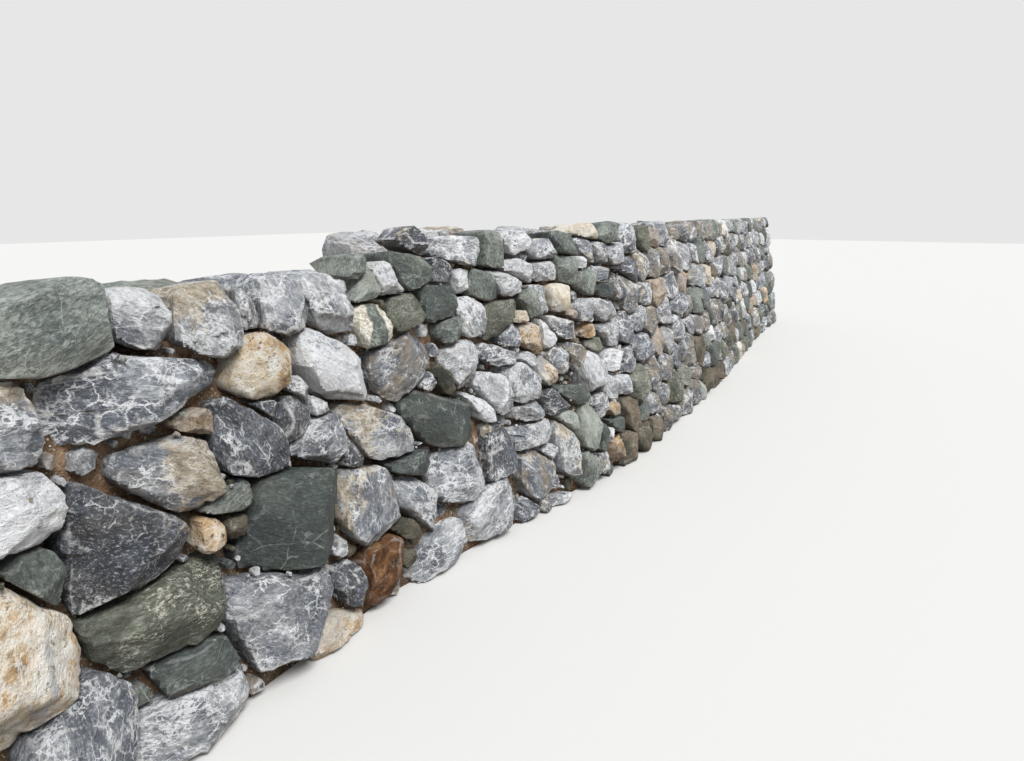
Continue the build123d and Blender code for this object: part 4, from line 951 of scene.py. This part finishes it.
def trodden(name, near, far, lumps, hollows, draw):
    """A bar of packed soil between two end rings, with lumps and wider hollows in it.

    A ring is the front foot, rear foot, rear top and front top of the bar. Its
    sides are divided evenly into a closed profile, the underside more openly,
    which is carried from one end to the other, and each point moves towards the
    bar's axis by a noise of three sizes. What rests on the floor stays there.
    """
    across, high = np.linalg.norm(near[1] - near[0]), np.linalg.norm(near[2] - near[1])
    upright = round(high / soil_spacing)
    level = max(2, round(across / soil_spacing))
    counts = [max(2, round(across / soil_spacing / 3)), upright, level, upright]
    rings = []
    for ring in (near, far):
        runs = []
        for index, count in enumerate(counts):
            share = np.arange(count)[:, None] / count
            runs.append(ring[index] + (ring[(index + 1) % 4] - ring[index]) * share)
        rings.append(np.concatenate(runs))
    steps = max(2, round(np.linalg.norm(far[0] - near[0]) / soil_spacing))
    share = np.linspace(0, 1, steps + 1)[:, None, None]
    points = rings[0] + (rings[1] - rings[0]) * share
    inward = points.mean(axis=1, keepdims=True) - points
    inward[..., 0] = 0
    inward /= np.linalg.norm(inward, axis=2, keepdims=True)
    flat = points.reshape(-1, 3)
    depth = lumps * (0.5 + 0.5 * cloud(flat * 7.0, draw))
    depth += 0.5 * lumps * (0.5 + 0.5 * cloud(flat * 19.0, draw + 1))
    depth += hollows * np.clip(0.8 + 1.6 * cloud(flat * 2.6, draw + 2), 0, 1)
    depth[flat[:, 2] < 0.001] = 0
    flat = flat + inward.reshape(-1, 3) * depth[:, None]
    flat[:, 2] = np.maximum(flat[:, 2], cad_low.z)
    number = np.arange(len(flat)).reshape(points.shape[:2])
    here, there = number[:-1], number[1:]
    quads = np.stack([here, np.roll(here, -1, axis=1), np.roll(there, -1, axis=1), there], axis=-1)
    faces = quads.reshape(-1, 4).tolist() + [number[0, ::-1].tolist(), number[-1].tolist()]
    mesh = bpy.data.meshes.new(name)
    mesh.from_pydata(flat.tolist(), [], faces)
    mesh.shade_smooth()
    mesh.materials.append(soil)
    return shown(name, mesh)


def end_rings(node):
    """The rings of corners at the near and far end of a block with upright ends."""
    corners = stones_in(node)[0]["corners"]
    rings = []
    for x in (corners[:, 0].min(), corners[:, 0].max()):
        ring = corners[np.abs(corners[:, 0] - x) < 1e-4]
        feet, tops = ring[ring[:, 2] < 0.01], ring[ring[:, 2] > 0.01]
        feet, tops = feet[feet[:, 1].argsort()], tops[tops[:, 1].argsort()]
        rings.append(np.array([feet[0], feet[-1], tops[-1], tops[0]]))
    return rings


hearting_rings = {bay: end_rings(f"hearting_{bay}") for bay in bay_names}
for bay in bay_names:
    near, far = hearting_rings[bay]
    rubble = trodden(f"rubble_{bay}", near, far, lumps=0.03, hollows=0.0, draw=800 + int(bay))
    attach(rubble, "root")
    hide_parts(f"hearting_{bay}")

# The soil in the joints. It has washed and been rammed forward between the
# boulders' tails, to about a hand's depth behind the face.
forward, into_hearting, below_coping, from_end = 0.31, 0.03, 0.06, 0.1
for bay in bay_names:
    rings = []
    for ring in hearting_rings[bay]:
        front, rear = ring[0].copy(), ring[0].copy()
        lean = (ring[3] - ring[0]) * (1 - below_coping)
        front[1] -= forward
        rear[1] += into_hearting
        rings.append(np.array([front, rear, rear + lean, front + lean]))
    near, far = rings
    length = far[0, 0] - near[0, 0]
    if bay == bay_names[0]:
        near += (near - far) * (near[0, 0] - cad_low.x - from_end) / length
    if bay == bay_names[-1]:
        far += (far - near) * (cad_high.x - from_end - far[0, 0]) / length
    wash = trodden(f"joint_soil_{bay}", near, far, lumps=0.04, hollows=0.20, draw=820 + int(bay))
    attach(wash, "root")

# The gravel in the joints. Broken bits of the same rock and washed pebbles,
# which have lodged on the boulders wherever a joint stands open.
pebble_grid = box_grid(4, 3)
pebble_kinds = ["mottled", "grey", "dim", "dark", "tan", "warm_grey", "green", "brown", "honey"]
pebble_build = {"sharp": 24.0, "chips": 14, "frontal": 0.0, "chip_depth": 0.62, "bend": 0.14, "rough": 0.03,
                "ledge": 0.0, "scars": 3, "scar": 0.05}


def clearance(spots, stones):
    """How far each spot is from the nearest of the stones; inside one it is less than 0."""
    margin, growth = 0.08, 0.04
    least = np.full(len(spots), np.inf)
    for stone in stones:
        low, high = stone["corners"].min(axis=0) - margin, stone["corners"].max(axis=0) + margin
        near = np.flatnonzero(((spots > low) & (spots < high)).all(axis=1))
        reaches = stone["reaches"] + growth * (stone["reaches"] - stone["normals"] @ stone["middle"])
        gaps = (spots[near] @ stone["normals"].T - reaches).max(axis=1)
        least[near] = np.minimum(least[near], gaps)
    return least


def lodged(stones, others, count, rng):
    """Spots where a pebble has room, close above a stone, near the face, in clusters.

    So many spots are tried round each stone. Those stay that lie in the clusters
    of a noise, with room for the pebble and a stone under it, and of two pebbles
    that would lie in each other the first stays.
    """
    smallest, size_range, widest_room = 0.005, 0.017, 0.07
    beside, above, least_depth, most_depth = 0.05, 0.06, 0.04, 0.24
    spots = []
    for stone in stones:
        low, high = stone["corners"].min(axis=0), stone["corners"].max(axis=0)
        span = high - low + (2 * beside, 0, above)
        spread = rng.random((count, 3)) * span + low - (beside, 0, 0)
        spread[:, 1] = low[1] + rng.uniform(least_depth, most_depth, count)
        spots.append(spread)
    spots = np.concatenate(spots)
    spots = spots[cloud(spots * 4.0, 77) > 0.15]
    sizes = smallest + size_range * rng.random(len(spots)) ** 2
    room = clearance(spots, others)
    footing = clearance(spots - np.column_stack([0 * sizes, 0 * sizes, sizes + 0.006]), others)
    good = (room > sizes * 0.85) & (room < widest_room) & (footing < 0.001)
    spots, sizes = spots[good], sizes[good]
    kept = []
    for index in range(len(spots)):
        gaps = np.linalg.norm(spots[kept] - spots[index], axis=1) - 0.8 * (sizes[kept] + sizes[index])
        if not kept or gaps.min() > 0:
            kept.append(index)
    return spots[kept], sizes[kept]


def pebble(spot, size, rng):
    """A stone record for one pebble: the box that its chips cut down."""
    half = size * rng.uniform(0.75, 1.25, 3)
    corners = spot + half * np.array(list(itertools.product((-1, 1), repeat=3)))
    normals = np.concatenate([np.eye(3), -np.eye(3)])
    reaches = normals @ spot + np.concatenate([half, half])
    return {"corners": corners, "normals": normals, "reaches": reaches, "middle": spot}


for bay in bay_names:
    rng = np.random.default_rng(900 + int(bay))
    here = [stone for course in courses for stone in face_stones[f"{course}_{bay}"] if course != "coping"]
    beside = [str(near) for near in range(int(bay) - 1, int(bay) + 2) if str(near) in bay_names]
    around = [stone for near in beside for course in courses for stone in face_stones[f"{course}_{near}"]]
    around += [stone for near in beside for stone in pin_stones[near]]
    tries = 400 if int(bay) < 4 else 120
    parts = []
    for spot, size in zip(*lodged(here, around, tries, rng)):
        stone = pebble(spot, size, rng)
        kind = pebble_kinds[rng.integers(len(pebble_kinds))]
        parts.append(boulder_part(stone, kind, towards_front, pebble_grid, rng, pebble_build))
    gravel = piece_from(f"joint_gravel_{bay}", parts, rocks)
    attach(gravel, "root")

# The place where the wall is shown: a plain pale floor under an even sky, and
# a camera at standing height beside the near end.
floor_reach, floor_tone, floor_shade = 60.0, paint(206, 205, 202), paint(150, 146, 140)
sky_tone, sky_light = (0.80, 0.80, 0.80, 1.0), (0.51, 0.53, 0.56, 1.0)


def where_seen(tree):
    """1 where the camera or a gloss sees the surface, and 0 for the light that falls from it."""
    path = add(tree, "ShaderNodeLightPath").outputs
    return greater(tree, path["Is Camera Ray"], path["Is Glossy Ray"])


floor_mesh = bpy.data.meshes.new("floor")
corners = [(-1, -1, 0), (1, -1, 0), (1, 1, 0), (-1, 1, 0)]
floor_mesh.from_pydata([(x * floor_reach, y * floor_reach, z) for x, y, z in corners], [], [(0, 1, 2, 3)])
floor = shown("floor", floor_mesh)
floor_paint = bpy.data.materials.new("floor_paint")
floor_paint.use_nodes = True
tree = floor_paint.node_tree
floor_shader = tree.nodes["Principled BSDF"]
tree.links.new(mixed(tree, where_seen(tree), floor_shade, floor_tone), floor_shader.inputs["Base Color"])
floor_shader.inputs["Roughness"].default_value = 0.9
floor_mesh.materials.append(floor_paint)

scene = bpy.context.scene
scene.view_settings.view_transform = "Standard"
sky = bpy.data.worlds.new("even_sky")
scene.world = sky
sky.use_nodes = True
tree = sky.node_tree
light = tree.nodes["Background"]
tree.links.new(mixed(tree, where_seen(tree), sky_light, sky_tone), light.inputs["Color"])
light.inputs["Strength"].default_value = 1.0

sun = bpy.data.lights.new("soft_sun", "SUN")
sun.energy = 3.7
sun.angle = math.radians(30)
sun_lamp = bpy.data.objects.new("soft_sun", sun)
sun_lamp.rotation_euler = (math.radians(32), math.radians(-14), 0)
scene.collection.objects.link(sun_lamp)

foot_of_face, eye_height, eye_back, eye_out = -0.39, 2.5, 0.45, 2.62
heading, nod = math.radians(30.13), math.radians(14.117)
ahead = Vector((math.cos(heading) * math.cos(nod), math.sin(heading) * math.cos(nod), -math.sin(nod)))
right = Vector((math.sin(heading), -math.cos(heading), 0))
turn = Matrix((right, right.cross(ahead), -ahead)).transposed().to_4x4()
turn.translation = Vector((cad_low.x - eye_back, foot_of_face - eye_out, eye_height))
camera = bpy.data.cameras.new("standing_view")
camera.sensor_width, camera.lens = 36.0, 23.55
viewer = bpy.data.objects.new("standing_view", camera)
viewer.matrix_world = turn
scene.collection.objects.link(viewer)
scene.camera = viewer
